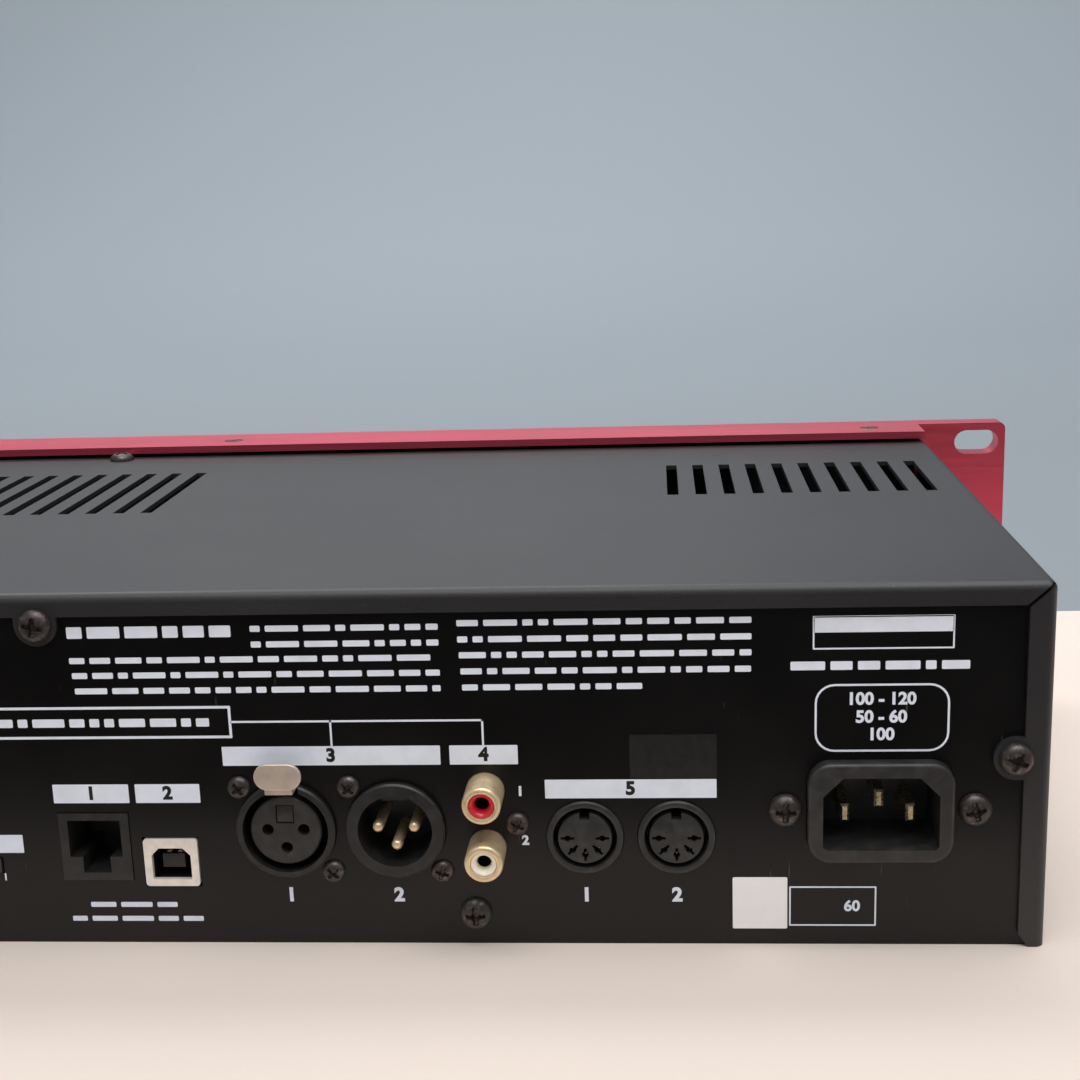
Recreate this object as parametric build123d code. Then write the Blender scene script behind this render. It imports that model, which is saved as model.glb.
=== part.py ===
"""A 2U rack effects unit: steel body, thick anodised rack panel, connectors behind, controls in front.

Frame, in millimetres: +X to the right seen from the front, -Y out of the front, +Z up. The origin is
the middle of the rack mounting plane, which is the rear face of the rack panel's two ears.
"""

import math
import os

from build123d import *

# ---- Overall sizes ----
body_width = 431.0
body_height = 81.6
body_depth = 176.0  # rack mounting plane to the rear panel's outer face
panel_height = 88.1
panel_thickness = 8.0
ear_width = 25.8
ear_slot_inset = 8.75  # slot centre to the panel's end
ear_slot_pitch = 76.2
ear_slot_length = 13.3
ear_slot_width = 7.4
panel_corner = 2.0
rim_depth = 13.3
rim_thickness = 2.1
rim_inset = 0.9  # rim's end to the body's side

# ---- Sheet metal ----
cover_sheet = 1.2
chassis_sheet = 1.5
bend_radius = 2.0
sheet_gap = 0.1
cover_front = 1.0
rear_lip = 5.0
side_lip = 5.7
lip_foot_height = 3.1
lip_foot_chamfer = 2.2
mitre_gap = 0.7
tab_radius = 4.7
front_flange_depth = 22.0

# ---- Vents in the cover ----
vent_width = 3.0
vent_pitch = 7.47
mains_vent_count = 10
mains_vent_length = 41.0
mains_vent_inset = 10.4  # last slot's middle to the body's side
mains_vent_rear = 91.5  # slots' rear end to the rear panel's outer face
middle_vent_count = 14
middle_vent_length = 54.5
middle_vent_x = 0.4
middle_vent_rear = 80.3

# ---- Fasteners ----
panel_screw_head = 3.65
panel_screw_shank = 1.75
panel_screw_rise = 2.3
small_screw_head = 2.6
small_screw_shank = 1.3
small_screw_rise = 1.6
screw_slack = 0.25
screw_length = 6.0
lip_screw_height = 74.8  # above the body's underside
side_lip_screw_height = 43.1
side_lip_screw_inset = 7.4
low_screw_height = 7.3
low_screw_x = 92.5
front_screw_x = 32.4
front_screw_y = 17.0
side_screw_height = 6.8
side_screw_inset = 36.0
rim_screw_x = 199.0
rim_screw_y = 4.5
rim_screw_head = 2.6
rim_screw_shank = 1.5
rim_screw_length = 7.0

# ---- Rear connectors: places across from the middle, heights above the body's underside ----
fit = 0.15  # clearance round what passes through the rear panel
inlet_inset = 35.4
inlet_height = 31.4
inlet_width = 30.8
inlet_tall = 22.6
inlet_corner = 5.0
inlet_rise = 3.0
inlet_cavity_width = 24.5
inlet_cavity_tall = 16.3
inlet_cavity_chamfer = 4.2
inlet_cavity_depth = 17.0
inlet_screw_spacing = 40.0
inlet_flange_thickness = 3.0
inlet_flange_tall = 22.0
inlet_flange_end = 5.5
inlet_body_depth = 24.0
blade_width = 2.0
blade_tall = 4.0
blade_pitch = 14.0
blade_drop = 2.1
blade_recess = 6.0
earth_rise = 1.8
earth_recess = 4.5
blade_tail = 7.0

xlr_height = 27.2
xlr_in_x = -51.4
xlr_out_x = (-75.6, 45.0, 69.35)
xlr_radius = 11.0
xlr_rise = 1.6
xlr_cavity_radius = 8.2
xlr_cavity_depth = 14.5
xlr_groove_radius = 9.5
xlr_insert_radius = 7.9
xlr_insert_rise = 0.9
xlr_socket_radius = 1.3
xlr_pin_radius = 1.2
xlr_pin_spread = 4.0
xlr_pin_drop = 3.9
xlr_pin_tip = 0.3
xlr_pin_tail = 4.0
xlr_housing = 23.6
xlr_housing_depth = 22.0
xlr_key_width = 5.4
xlr_key_height = 1.3
latch_width = 10.3
latch_tall = 6.0
latch_sheet = 0.8
latch_rise = 5.5
latch_height = 41.4
latch_travel = 2.5
latch_stem_width = 6.0
latch_stem_rise = 10.5  # stem's middle above the socket's middle
latch_stem_depth = 10.0
latch_tooth = 1.5
latch_gap = 0.4

rca_x = -95.6
rca_heights = (36.0, 22.75)
rca_radius = 4.2
rca_reach = 9.0
rca_bore = 2.85
rca_hole = 1.5
rca_inset = 0.4
rca_block_width = 11.0
rca_block_depth = 12.0
rca_screw_x = -102.4
rca_screw_height = 28.4

midi_x = (-117.0, -136.8)
midi_height = 25.2
midi_radius = 8.4
midi_rise = 0.8
midi_groove_radius = 6.9
midi_core_radius = 5.9
midi_groove_depth = 8.0
midi_pin_circle = 3.8
midi_pin_step = 45.0
midi_hole_radius = 0.8
midi_key_width = 2.2
midi_housing_width = 18.0
midi_housing_depth = 17.0

usb_x = -25.0
usb_height = 19.5
usb_width = 12.2
usb_tall = 11.2
usb_sheet = 0.6
usb_cavity_width = 8.8
usb_cavity_tall = 7.4
usb_cavity_chamfer = 1.7
usb_tongue_width = 5.0
usb_tongue_tall = 3.2
usb_depth = 16.0
usb_rise = 0.5

pedal_x = -8.05
pedal_height = 23.2
pedal_width = 15.9
pedal_tall = 15.9
pedal_rise = 0.3
pedal_depth = 18.0
pedal_cavity_width = 11.9
pedal_cavity_tall = 8.6
pedal_cavity_top = 1.7
pedal_step_width = 6.2
pedal_step_tall = 3.8
pedal_cavity_depth = 14.0
pedal_contact_count = 8
pedal_contact_pitch = 1.02
pedal_contact_width = 0.45

ground_x = 18.0
ground_height = 18.7
ground_window_width = 9.0
ground_window_tall = 3.9
ground_lever_width = 4.2
ground_lever_tall = 3.4
ground_lever_rise = 0.8
ground_travel = 4.0
ground_body_width = 15.0
ground_body_tall = 7.4
ground_body_depth = 6.5

rear_jack_x = (100.0, 122.0, 144.0, 166.0)
rear_jack_height = 27.2
jack_bushing_radius = 5.7
jack_bore_radius = 3.3
jack_nut_radius = 7.6
jack_nut_thickness = 2.2
jack_thread_rise = 2.8
jack_body_width = 16.0
jack_body_tall = 17.0
jack_body_depth = 30.0

# ---- Front controls: places across from the middle, heights above the panel's middle ----
front_fit = 0.35
front_jack_inset = 25.5
front_jack_heights = (17.0, -17.0)
display_x = -100.0
display_z = 12.0
display_width = 92.0
display_tall = 34.0
display_glass = 2.0
display_glass_gap = 0.1
display_view_width = 84.0
display_view_tall = 27.0
display_module_width = 100.0
display_module_tall = 42.0
knob_names = ("drive_knob", "bass_knob", "middle_knob", "treble_knob", "level_knob")
knob_x = (-24.0, 8.0, 40.0, 72.0, 104.0)
knob_z = 6.0
knob_radius = 8.0
knob_length = 14.0
knob_gap = 0.8
select_x = 144.0
select_z = 10.0
select_radius = 13.0
select_length = 15.0
shaft_radius = 3.0
shaft_fit = 0.05
shaft_grip = 0.02
bushing_radius = 3.5
pot_size = 11.0
pot_depth = 7.0
button_names = ("page_button", "save_button", "tap_button", "tuner_button", "back_button", "enter_button")
button_x = (-136.0, -112.0, -88.0, -64.0, 132.0, 156.0)
button_z = -24.0
button_width = 11.0
button_tall = 5.5
button_rise = 1.8
button_travel = 1.0
button_corner = 1.2
button_collar = 1.0
button_stem = 3.0
rocker_inset = 19.5
rocker_window_width = 11.6
rocker_window_tall = 17.6
rocker_frame_width = 15.0
rocker_frame_tall = 21.0
rocker_frame_rise = 1.6
rocker_wall = 1.2
rocker_gap = 0.35
rocker_tilt = 8.0
rocker_pivot_depth = 4.0
rocker_pin_radius = 1.2
rocker_body_depth = 26.0

# ---- Boards and what they carry ----
board_sheet = 1.6
ui_board_y = 13.0
ui_board_left = 160.0
ui_board_right = 174.0
ui_board_tall = 70.0
tact_size = 6.0
tact_depth = 3.5
tact_gap = 0.4
board_height = 13.8  # top face of the main board above the body's underside
main_board_left = -153.0
main_board_right = 185.0
main_board_depth = 112.0
board_rear_gap = 4.0
supply_board_width = 52.0
supply_board_front = 24.0
supply_board_gap = 34.0  # board's rear end to the rear panel's outer face
transformer_size = 34.0
transformer_tall = 30.0
transformer_gap = 64.0  # transformer's middle to the rear panel's outer face
core_depth = 14.0
core_wall = 8.0
winding_depth = 26.0
capacitor_radius = 9.0
capacitor_tall = 32.0
heatsink_x = 60.0
heatsink_y = 84.0
heatsink_width = 46.0
heatsink_depth = 28.0
heatsink_fin = 2.0
heatsink_fins = 7
heatsink_tall = 26.0
ribbon_x = 20.0
ribbon_width = 24.0
ribbon_sheet = 1.0
ribbon_far = 66.0
ribbon_rise = 26.0
header_tall = 8.0
header_depth = 6.0
standoff_radius = 3.0
chip_tall = 1.8

# ---- Sizes worked out from those above ----
side = body_width / 2
underside = -body_height / 2
roof = body_height / 2
rear_face = body_depth
rear_inner = rear_face - chassis_sheet
panel_width = body_width + 2 * ear_width
panel_front = -panel_thickness
tray_top = underside + chassis_sheet
cover_inner = roof - cover_sheet
cover_wall = side - cover_sheet
inner_bend = bend_radius - cover_sheet
tray_side = cover_wall - sheet_gap
plate_side = cover_wall - inner_bend
plate_top = cover_inner - inner_bend
board_top = underside + board_height
board_under = board_top - board_sheet
inlet_x = inlet_inset - side
inlet_z = underside + inlet_height
xlr_z = underside + xlr_height
xlr_screw_offset = 0.9 * xlr_radius
midi_z = underside + midi_height
usb_z = underside + usb_height
pedal_z = underside + pedal_height
ground_z = underside + ground_height
rear_jack_z = underside + rear_jack_height
rear_rise = rear_face + cover_sheet
ui_board_back = ui_board_y + board_sheet
rocker_x = rocker_inset - side
front_jack_x = side - front_jack_inset
ear_slot_x = panel_width / 2 - ear_slot_inset
supply_board_x = inlet_x
supply_board_rear = rear_face - supply_board_gap
transformer_y = rear_face - transformer_gap
tray_flange = board_height - board_sheet - 0.2


def block(x, y, z):
    """Box between two corners, each argument a (low, high) pair."""
    size = [high - low for low, high in (x, y, z)]
    middle = [(high + low) / 2 for low, high in (x, y, z)]
    return Pos(*middle) * Box(*size)


def centred(x, z, width, tall, near, far):
    """Box centred on (x, z) that runs along Y from near to far."""
    return block((x - width / 2, x + width / 2), (near, far), (z - tall / 2, z + tall / 2))


def rod(x, z, radius, near, far):
    """Round bar along Y from near to far."""
    return Pos(x, (near + far) / 2, z) * Rot(90, 0, 0) * Cylinder(radius, far - near)


def prism(face, near, far):
    """Extrude a sketch, drawn with X across and Y up, along the row's Y from near to far."""
    plane = Plane(origin=(0, near, 0), x_dir=(1, 0, 0), z_dir=(0, -1, 0))
    return extrude(plane * face, amount=near - far)


def pan_screw(head, shank, rise, length):
    """Cross-head screw along Z: the head's underside at z = 0, the shank below it."""
    top = Pos(0, 0, rise / 2) * Cylinder(head, rise)
    top = fillet(top.edges().group_by(Axis.Z)[-1], rise * 0.55)
    arm = head * 0.62
    blade = head * 0.2
    for angle in (0, 90):
        top -= Pos(0, 0, rise) * Rot(0, 0, angle) * Box(2 * arm, 2 * blade, rise * 1.1)
    return top + Pos(0, 0, -length / 2) * Cylinder(shank, length)


def countersunk_screw(head, shank, sink, length):
    """Flush cross-head screw along Z: the flat top at z = 0."""
    body = Pos(0, 0, -sink / 2) * Cone(shank, head, sink)
    body += Pos(0, 0, -length / 2) * Cylinder(shank, length)
    for angle in (0, 90):
        body -= Rot(0, 0, angle) * Box(head * 1.1, head * 0.35, sink)
    return body


def facing_rear(part, x, y, z):
    """Stand a part that points up +Z so that it points out of the rear."""
    return Pos(x, y, z) * Rot(-90, 0, 0) * part


def facing_front(part, x, y, z):
    """Stand a part that points up +Z so that it points out of the front."""
    return Pos(x, y, z) * Rot(90, 0, 0) * part


def group(parts):
    """Several separate solids as one node."""
    solids = []
    for part in parts:
        solids.extend(part.solids())
    return Compound(children=solids)


# ---- Screw places ----
def rear_cover_screws():
    """Places of the cover's screws in its rear lips, as (x, z)."""
    across = side - side_lip_screw_inset
    height = underside + side_lip_screw_height
    return [(0, underside + lip_screw_height), (across, height), (-across, height)]


def low_screws():
    return [(x, underside + low_screw_height) for x in (-low_screw_x, low_screw_x)]


def side_screws():
    """Places of the cover's screws along each side, as (y, z)."""
    height = underside + side_screw_height
    return [(side_screw_inset, height), (body_depth - side_screw_inset, height)]


def xlr_screws():
    """Upper and lower screw of each three-pole connector, as (x, z)."""
    places = []
    for x in (xlr_in_x, *xlr_out_x):
        places.append((x + xlr_screw_offset, xlr_z + xlr_screw_offset))
        places.append((x - xlr_screw_offset, xlr_z - xlr_screw_offset))
    return places


def small_rear_screws():
    return [*xlr_screws(), (rca_screw_x, underside + rca_screw_height)]


def inlet_screws():
    half = inlet_screw_spacing / 2
    return [(inlet_x - half, inlet_z), (inlet_x + half, inlet_z)]


def rim_screws():
    """Flush screws through the rack panel's rims, as (x, y)."""
    return [(x, rim_screw_y) for x in (-rim_screw_x, 0, rim_screw_x)]


# ---- Casing ----
def vent_slots():
    """Both rows of slots through the cover's top, as one cutting tool."""
    first = side - mains_vent_inset
    mains = [-first + step * vent_pitch for step in range(mains_vent_count)]
    middle = [middle_vent_x + step * vent_pitch for step in range(middle_vent_count)]
    rows = ((mains, mains_vent_rear, mains_vent_length), (middle, middle_vent_rear, middle_vent_length))
    slots = []
    for places, rear, length in rows:
        for x in places:
            y = (rear_face - rear - length, rear_face - rear)
            slots.append(block((x - vent_width / 2, x + vent_width / 2), y, (cover_inner - 1, roof + 1)))
    return slots


def cover_shell():
    """Top and two sides folded from one sheet, with a rear wall that the lips are left from."""
    rear = rear_face + cover_sheet
    outer = block((-side, side), (cover_front, rear), (underside, roof))
    back_edges = outer.edges().filter_by_position(Axis.Y, rear - 0.01, rear + 0.01)
    top_edges = outer.edges().filter_by_position(Axis.Z, roof - 0.01, roof + 0.01)
    bends = [edge for edge in back_edges if abs(edge.center().Z - underside) > 1]
    bends += [edge for edge in top_edges if abs(edge.center().X) > side - 1]
    outer = fillet(bends, bend_radius)
    inner = block((-cover_wall, cover_wall), (cover_front, rear_face), (underside, cover_inner))
    back_edges = inner.edges().filter_by_position(Axis.Y, rear_face - 0.01, rear_face + 0.01)
    top_edges = inner.edges().filter_by_position(Axis.Z, cover_inner - 0.01, cover_inner + 0.01)
    bends = [edge for edge in back_edges if abs(edge.center().Z - underside) > 1]
    bends += [edge for edge in top_edges if abs(edge.center().X) > cover_wall - 1]
    inner = fillet(bends, inner_bend)
    return outer - inner


def lip_window():
    """What is cut from the cover's rear wall: all but the lips and the screw tabs."""
    low = underside - 1
    across = (side_lip - side, side - side_lip)
    window = block(across, (rear_face - 0.2, rear_rise + 1), (low, roof - rear_lip))
    for x, z in rear_cover_screws():
        tab = rod(x, z, tab_radius, rear_face - 1, rear_rise + 2)
        if x == 0:
            reach = block((-tab_radius, tab_radius), (rear_face - 1, rear_rise + 2), (z, roof))
        else:
            out = math.copysign(side, x)
            ends = (min(x, out), max(x, out))
            reach = block(ends, (rear_face - 1, rear_rise + 2), (z - tab_radius, z + tab_radius))
        window -= tab
        window -= reach
    return window


def top_cover():
    cover = cover_shell() - lip_window()
    for slot in vent_slots():
        cover -= slot
    for sign in (-1, 1):
        inner_corner = (sign * (side - side_lip), roof - rear_lip)
        corner = Pos(sign * (side - side_lip / 2), rear_rise, roof - rear_lip / 2)
        angle = math.degrees(math.atan2(rear_lip, side_lip))
        length = math.hypot(rear_lip, side_lip) + 2
        thickness = 2 * cover_sheet + 0.6
        cover -= corner * Rot(0, -sign * angle, 0) * Box(length, thickness, mitre_gap)
        foot = Polyline(
            (inner_corner[0] - sign, underside - 1),
            (inner_corner[0] - sign, underside + lip_foot_height),
            (inner_corner[0], underside + lip_foot_height),
            (inner_corner[0] + sign * lip_foot_chamfer, underside),
            (inner_corner[0] + sign * lip_foot_chamfer, underside - 1),
            close=True,
        )
        cover -= prism(make_face(foot), rear_face - 0.2, rear_rise + 1)
    for x, z in rear_cover_screws():
        cover -= rod(x, z, panel_screw_shank + screw_slack, rear_face - 1, rear_rise + 1)
    for y, z in side_screws():
        hole = Rot(0, 90, 0) * Cylinder(panel_screw_shank + screw_slack, 2 * body_width)
        cover -= Pos(0, y, z) * hole
    cover -= Pos(front_screw_x, front_screw_y, roof) * Cylinder(panel_screw_shank + screw_slack, 4)
    for x, y in rim_screws():
        cover -= Pos(x, y, roof) * Cylinder(rim_screw_shank + screw_slack, 4)
    return cover


def bottom_tray():
    """Floor sheet with a shallow flange turned up on each side."""
    front = chassis_sheet
    tray = block((-tray_side, tray_side), (front, rear_inner), (underside, underside + tray_flange))
    inside = (chassis_sheet - tray_side, tray_side - chassis_sheet)
    tray -= block(inside, (front + chassis_sheet, rear_inner - chassis_sheet), (tray_top, roof))
    for x, z in low_screws():
        tray -= rod(x, z, panel_screw_shank + screw_slack, rear_inner - 4, rear_face)
    for y, z in side_screws():
        tray -= Pos(0, y, z) * Rot(0, 90, 0) * Cylinder(panel_screw_shank + screw_slack, 2 * body_width)
    for x, y in rim_screws():
        tray -= Pos(x, y, underside) * Cylinder(rim_screw_shank + screw_slack, 2 * rim_screw_length)
    return tray


def inlet_outline(grow):
    return RectangleRounded(inlet_width + 2 * grow, inlet_tall + 2 * grow, inlet_corner + grow)


def rear_panel():
    """Flat steel plate pierced for every connector."""
    panel = block((-plate_side, plate_side), (rear_inner, rear_face), (underside, plate_top))
    near = rear_inner - 1
    far = rear_face + 1
    panel -= prism(Pos(inlet_x, inlet_z) * inlet_outline(fit), near, far)
    for x in (xlr_in_x, *xlr_out_x):
        panel -= rod(x, xlr_z, xlr_radius + fit, near, far)
    width = latch_stem_width + 2 * latch_gap
    stem_z = xlr_z + latch_stem_rise
    panel -= centred(xlr_in_x, stem_z, width, latch_sheet + 4 * latch_gap, near, far)
    for height in rca_heights:
        panel -= rod(rca_x, underside + height, rca_radius + fit, near, far)
    for x in midi_x:
        panel -= rod(x, midi_z, midi_radius + fit, near, far)
    panel -= centred(usb_x, usb_z, usb_width + 4 * fit, usb_tall + 4 * fit, near, far)
    panel -= centred(pedal_x, pedal_z, pedal_width + 2 * fit, pedal_tall + 2 * fit, near, far)
    panel -= centred(ground_x, ground_z, ground_window_width, ground_window_tall, near, far)
    for x in rear_jack_x:
        panel -= rod(x, rear_jack_z, jack_bushing_radius + fit, near, far)
    for x, z in small_rear_screws():
        panel -= rod(x, z, small_screw_shank + screw_slack, near, far)
    for x, z in (*rear_cover_screws(), *low_screws(), *inlet_screws()):
        panel -= rod(x, z, panel_screw_shank + screw_slack, near, far)
    return panel


def faceplate():
    """Thick rack panel with its two ears and the rims that reach back over the body."""
    outline = RectangleRounded(panel_width, panel_height, panel_corner)
    for x in (-ear_slot_x, ear_slot_x):
        for z in (-ear_slot_pitch / 2, ear_slot_pitch / 2):
            outline -= Pos(x, z) * SlotOverall(ear_slot_length, ear_slot_width)
    plate = prism(outline, panel_front, 0)
    edges = plate.faces().sort_by(Axis.Y)[0].outer_wire().edges()
    plate = chamfer(edges, 0.6)
    for sign in (-1, 1):
        outside = sign * panel_height / 2
        inside = sign * (panel_height / 2 - rim_thickness)
        ends = (rim_inset - side, side - rim_inset)
        plate += block(ends, (-0.5, rim_depth), (min(outside, inside), max(outside, inside)))
    for x, y in rim_screws():
        for turn in (0, 180):
            sink = Pos(0, 0, panel_height / 2 - rim_thickness / 2)
            hole = Cone(rim_screw_shank + screw_slack, rim_screw_head + screw_slack, rim_thickness)
            plate -= Pos(x, y, 0) * Rot(0, turn, 0) * sink * hole
    seat = panel_front + display_glass
    plate -= centred(display_x, display_z, display_width, display_tall, panel_front - 1, seat)
    plate -= centred(display_x, display_z, display_view_width, display_view_tall, panel_front, 1)
    for x in (*knob_x, select_x):
        plate -= rod(x, select_z if x == select_x else knob_z, bushing_radius + fit, panel_front - 1, 1)
    width = button_width + 2 * front_fit
    tall = button_tall + 2 * front_fit
    for x in button_x:
        hole = RectangleRounded(width, tall, button_corner + front_fit)
        plate -= prism(Pos(x, button_z) * hole, panel_front - 1, 1)
    for z in front_jack_heights:
        plate -= rod(front_jack_x, z, jack_bushing_radius + fit, panel_front - 1, 1)
    width = rocker_window_width + 2 * (rocker_gap + rocker_wall + fit)
    tall = rocker_window_tall + 2 * (rocker_gap + rocker_wall + fit)
    plate -= centred(rocker_x, 0, width, tall, panel_front - 1, 1)
    return plate


def front_subpanel():
    """Steel sheet behind the rack panel, folded back at the top to carry the cover's front edge."""
    top = cover_inner - sheet_gap
    wall = block((-plate_side, plate_side), (0, chassis_sheet), (underside, top))
    wall += block((-plate_side, plate_side), (0, front_flange_depth), (top - chassis_sheet, top))
    reach = chassis_sheet + 1
    wall -= centred(display_x, display_z, display_view_width, display_view_tall, -1, reach)
    for x in (*knob_x, select_x):
        wall -= rod(x, select_z if x == select_x else knob_z, bushing_radius + fit, -1, reach)
    for x in button_x:
        width = button_width + 2 * (front_fit + button_collar + 0.3)
        tall = button_tall + 2 * (front_fit + button_collar + 0.3)
        wall -= centred(x, button_z, width, tall, -1, reach)
    for z in front_jack_heights:
        wall -= rod(front_jack_x, z, jack_bushing_radius + fit, -1, reach)
    width = rocker_window_width + 2 * (rocker_gap + rocker_wall + fit)
    tall = rocker_window_tall + 2 * (rocker_gap + rocker_wall + fit)
    wall -= centred(rocker_x, 0, width, tall, -1, reach)
    wall -= Pos(front_screw_x, front_screw_y, top) * Cylinder(panel_screw_shank + screw_slack, 6)
    for x, y in rim_screws():
        wall -= Pos(x, y, top) * Cylinder(rim_screw_shank + screw_slack, 6)
    return wall


# ---- Fasteners ----
def panel_screws():
    """The large screws, all alike: cover, rear panel and mains inlet."""
    screw = pan_screw(panel_screw_head, panel_screw_shank, panel_screw_rise, screw_length)
    placed = [facing_rear(screw, x, rear_rise, z) for x, z in rear_cover_screws()]
    placed += [facing_rear(screw, x, rear_face, z) for x, z in (*low_screws(), *inlet_screws())]
    placed.append(Pos(front_screw_x, front_screw_y, roof) * screw)
    for y, z in side_screws():
        placed.append(Pos(side, y, z) * Rot(0, 90, 0) * screw)
        placed.append(Pos(-side, y, z) * Rot(0, -90, 0) * screw)
    return group(placed)


def connector_screws():
    screw = pan_screw(small_screw_head, small_screw_shank, small_screw_rise, screw_length)
    return group([facing_rear(screw, x, rear_face, z) for x, z in small_rear_screws()])


def faceplate_screws():
    screw = countersunk_screw(rim_screw_head, rim_screw_shank, rim_thickness * 0.9, rim_screw_length)
    placed = []
    for x, y in rim_screws():
        placed.append(Pos(x, y, panel_height / 2) * screw)
        placed.append(Pos(x, y, -panel_height / 2) * Rot(180, 0, 0) * screw)
    return group(placed)


# ---- Mains inlet ----
def mains_inlet():
    """Moulded inlet: collar through the panel, flange behind it and a three-pole cavity."""
    front = rear_face + inlet_rise
    back = rear_inner - inlet_body_depth
    body = prism(Pos(inlet_x, inlet_z) * inlet_outline(0), back, front)
    body = fillet(body.faces().sort_by(Axis.Y)[-1].edges(), 0.9)
    flange = Rectangle(inlet_screw_spacing + 2 * inlet_flange_end, inlet_flange_tall)
    flange = fillet(flange.vertices(), 4)
    body += prism(Pos(inlet_x, inlet_z) * flange, rear_inner - inlet_flange_thickness, rear_inner)
    cavity = Rectangle(inlet_cavity_width, inlet_cavity_tall)
    cavity = chamfer(cavity.vertices().group_by(Axis.Y)[-1], inlet_cavity_chamfer)
    cavity = fillet(cavity.vertices().group_by(Axis.Y)[0], 1.2)
    body -= prism(Pos(inlet_x, inlet_z) * cavity, front - inlet_cavity_depth, front + 1)
    for x, z in inlet_screws():
        body -= rod(x, z, panel_screw_shank + screw_slack, rear_inner - 20, rear_face)
    for x, z, _ in blade_places():
        body -= centred(x, z, blade_width, blade_tall, back - 1, front)
    return body


def blade_places():
    """Line, neutral and earth blades as (x, z, recess behind the collar's rim)."""
    low = inlet_z - blade_drop
    half = blade_pitch / 2
    return [
        (inlet_x - half, low, blade_recess),
        (inlet_x + half, low, blade_recess),
        (inlet_x, inlet_z + earth_rise, earth_recess),
    ]


def mains_blades():
    front = rear_face + inlet_rise
    back = rear_inner - inlet_body_depth - blade_tail
    blades = []
    for x, z, recess in blade_places():
        blade = centred(x, z, blade_width, blade_tall, back, front - recess)
        tip = blade.faces().sort_by(Axis.Y)[-1].edges()
        blades.append(chamfer(tip, 0.5))
    return group(blades)


# ---- Three-pole connectors ----
def xlr_block(x):
    """Square moulding behind the panel that stands on the main board."""
    half = xlr_housing / 2
    back = rear_inner - xlr_housing_depth
    return block((x - half, x + half), (back, rear_inner), (board_top, xlr_z + half))


def xlr_clearances(x):
    """Screw holes and solder pin slots through a block."""
    cuts = []
    for place_x, z in xlr_screws():
        if abs(place_x - x) < xlr_radius:
            cuts.append(rod(place_x, z, small_screw_shank + screw_slack, rear_inner - 12, rear_face))
    return cuts


def pin_places(x):
    upper = xlr_z + 0.3
    return [(x - xlr_pin_spread, upper), (x + xlr_pin_spread, upper), (x, xlr_z - xlr_pin_drop)]


def xlr_out_shells():
    """Three male sockets: a collar, a deep round cavity and a key ledge at its top."""
    shells = []
    front = rear_face + xlr_rise
    for x in xlr_out_x:
        collar = rod(x, xlr_z, xlr_radius, rear_inner, front)
        collar = chamfer(collar.faces().sort_by(Axis.Y)[-1].edges(), 0.4)
        shell = collar + xlr_block(x)
        cavity = rod(x, xlr_z, xlr_cavity_radius, front - xlr_cavity_depth, front + 1)
        ledge_z = xlr_z + xlr_cavity_radius - xlr_key_height
        high = (ledge_z, ledge_z + 4)
        across = (x - xlr_key_width / 2, x + xlr_key_width / 2)
        cavity -= block(across, (rear_face - xlr_cavity_depth, front - 1), high)
        shell -= cavity
        for cut in xlr_clearances(x):
            shell -= cut
        for pin_x, z in pin_places(x):
            shell -= rod(pin_x, z, xlr_pin_radius, rear_inner - xlr_housing_depth - 1, front)
        shells.append(shell)
    return group(shells)


def xlr_out_pins():
    back = rear_inner - xlr_housing_depth - xlr_pin_tail
    pins = []
    for x in xlr_out_x:
        for pin_x, z in pin_places(x):
            pin = rod(pin_x, z, xlr_pin_radius, back, rear_face + xlr_pin_tip)
            pins.append(fillet(pin.faces().sort_by(Axis.Y)[-1].edges(), xlr_pin_radius * 0.8))
    return group(pins)


def xlr_in_shell():
    """Female socket's shell: a collar with an annular groove, and a slot on top for its latch."""
    x = xlr_in_x
    front = rear_face + xlr_rise
    collar = rod(x, xlr_z, xlr_radius, rear_inner, front)
    collar = chamfer(collar.faces().sort_by(Axis.Y)[-1].edges(), 0.4)
    shell = collar + xlr_block(x)
    groove_floor = front - xlr_cavity_depth
    shell -= rod(x, xlr_z, xlr_groove_radius, groove_floor, front + 1)
    shell -= rod(x, xlr_z, xlr_insert_radius, rear_inner - xlr_housing_depth - 1, front)
    for cut in xlr_clearances(x):
        shell -= cut
    half = latch_stem_width / 2 + latch_gap
    low = xlr_z + latch_stem_rise - latch_sheet / 2 - latch_tooth - latch_gap
    pressed_end = rear_inner - latch_stem_depth - latch_travel - latch_gap
    return shell - block((x - half, x + half), (pressed_end, front + 1), (low, xlr_z + xlr_housing))


def xlr_in_latch():
    """Release tab that slides inwards: a thumb plate outside, a stem through the panel and a tooth."""
    thumb_z = underside + latch_height
    face = rear_face + latch_rise
    half = latch_sheet / 2
    latch = prism(Pos(xlr_in_x, thumb_z) * SlotOverall(latch_width, latch_tall), face - latch_sheet, face)
    latch = fillet(latch.faces().sort_by(Axis.Y)[-1].edges(), 0.3)
    stem_z = xlr_z + latch_stem_rise
    across = (xlr_in_x - latch_stem_width / 2, xlr_in_x + latch_stem_width / 2)
    end = rear_inner - latch_stem_depth
    latch += block(across, (end, face - half), (stem_z - half, stem_z + half))
    latch += block(across, (face - latch_sheet - half, face - half), (stem_z - half, thumb_z))
    return latch + block(across, (end, end + latch_sheet), (stem_z - half - latch_tooth, stem_z))


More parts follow.
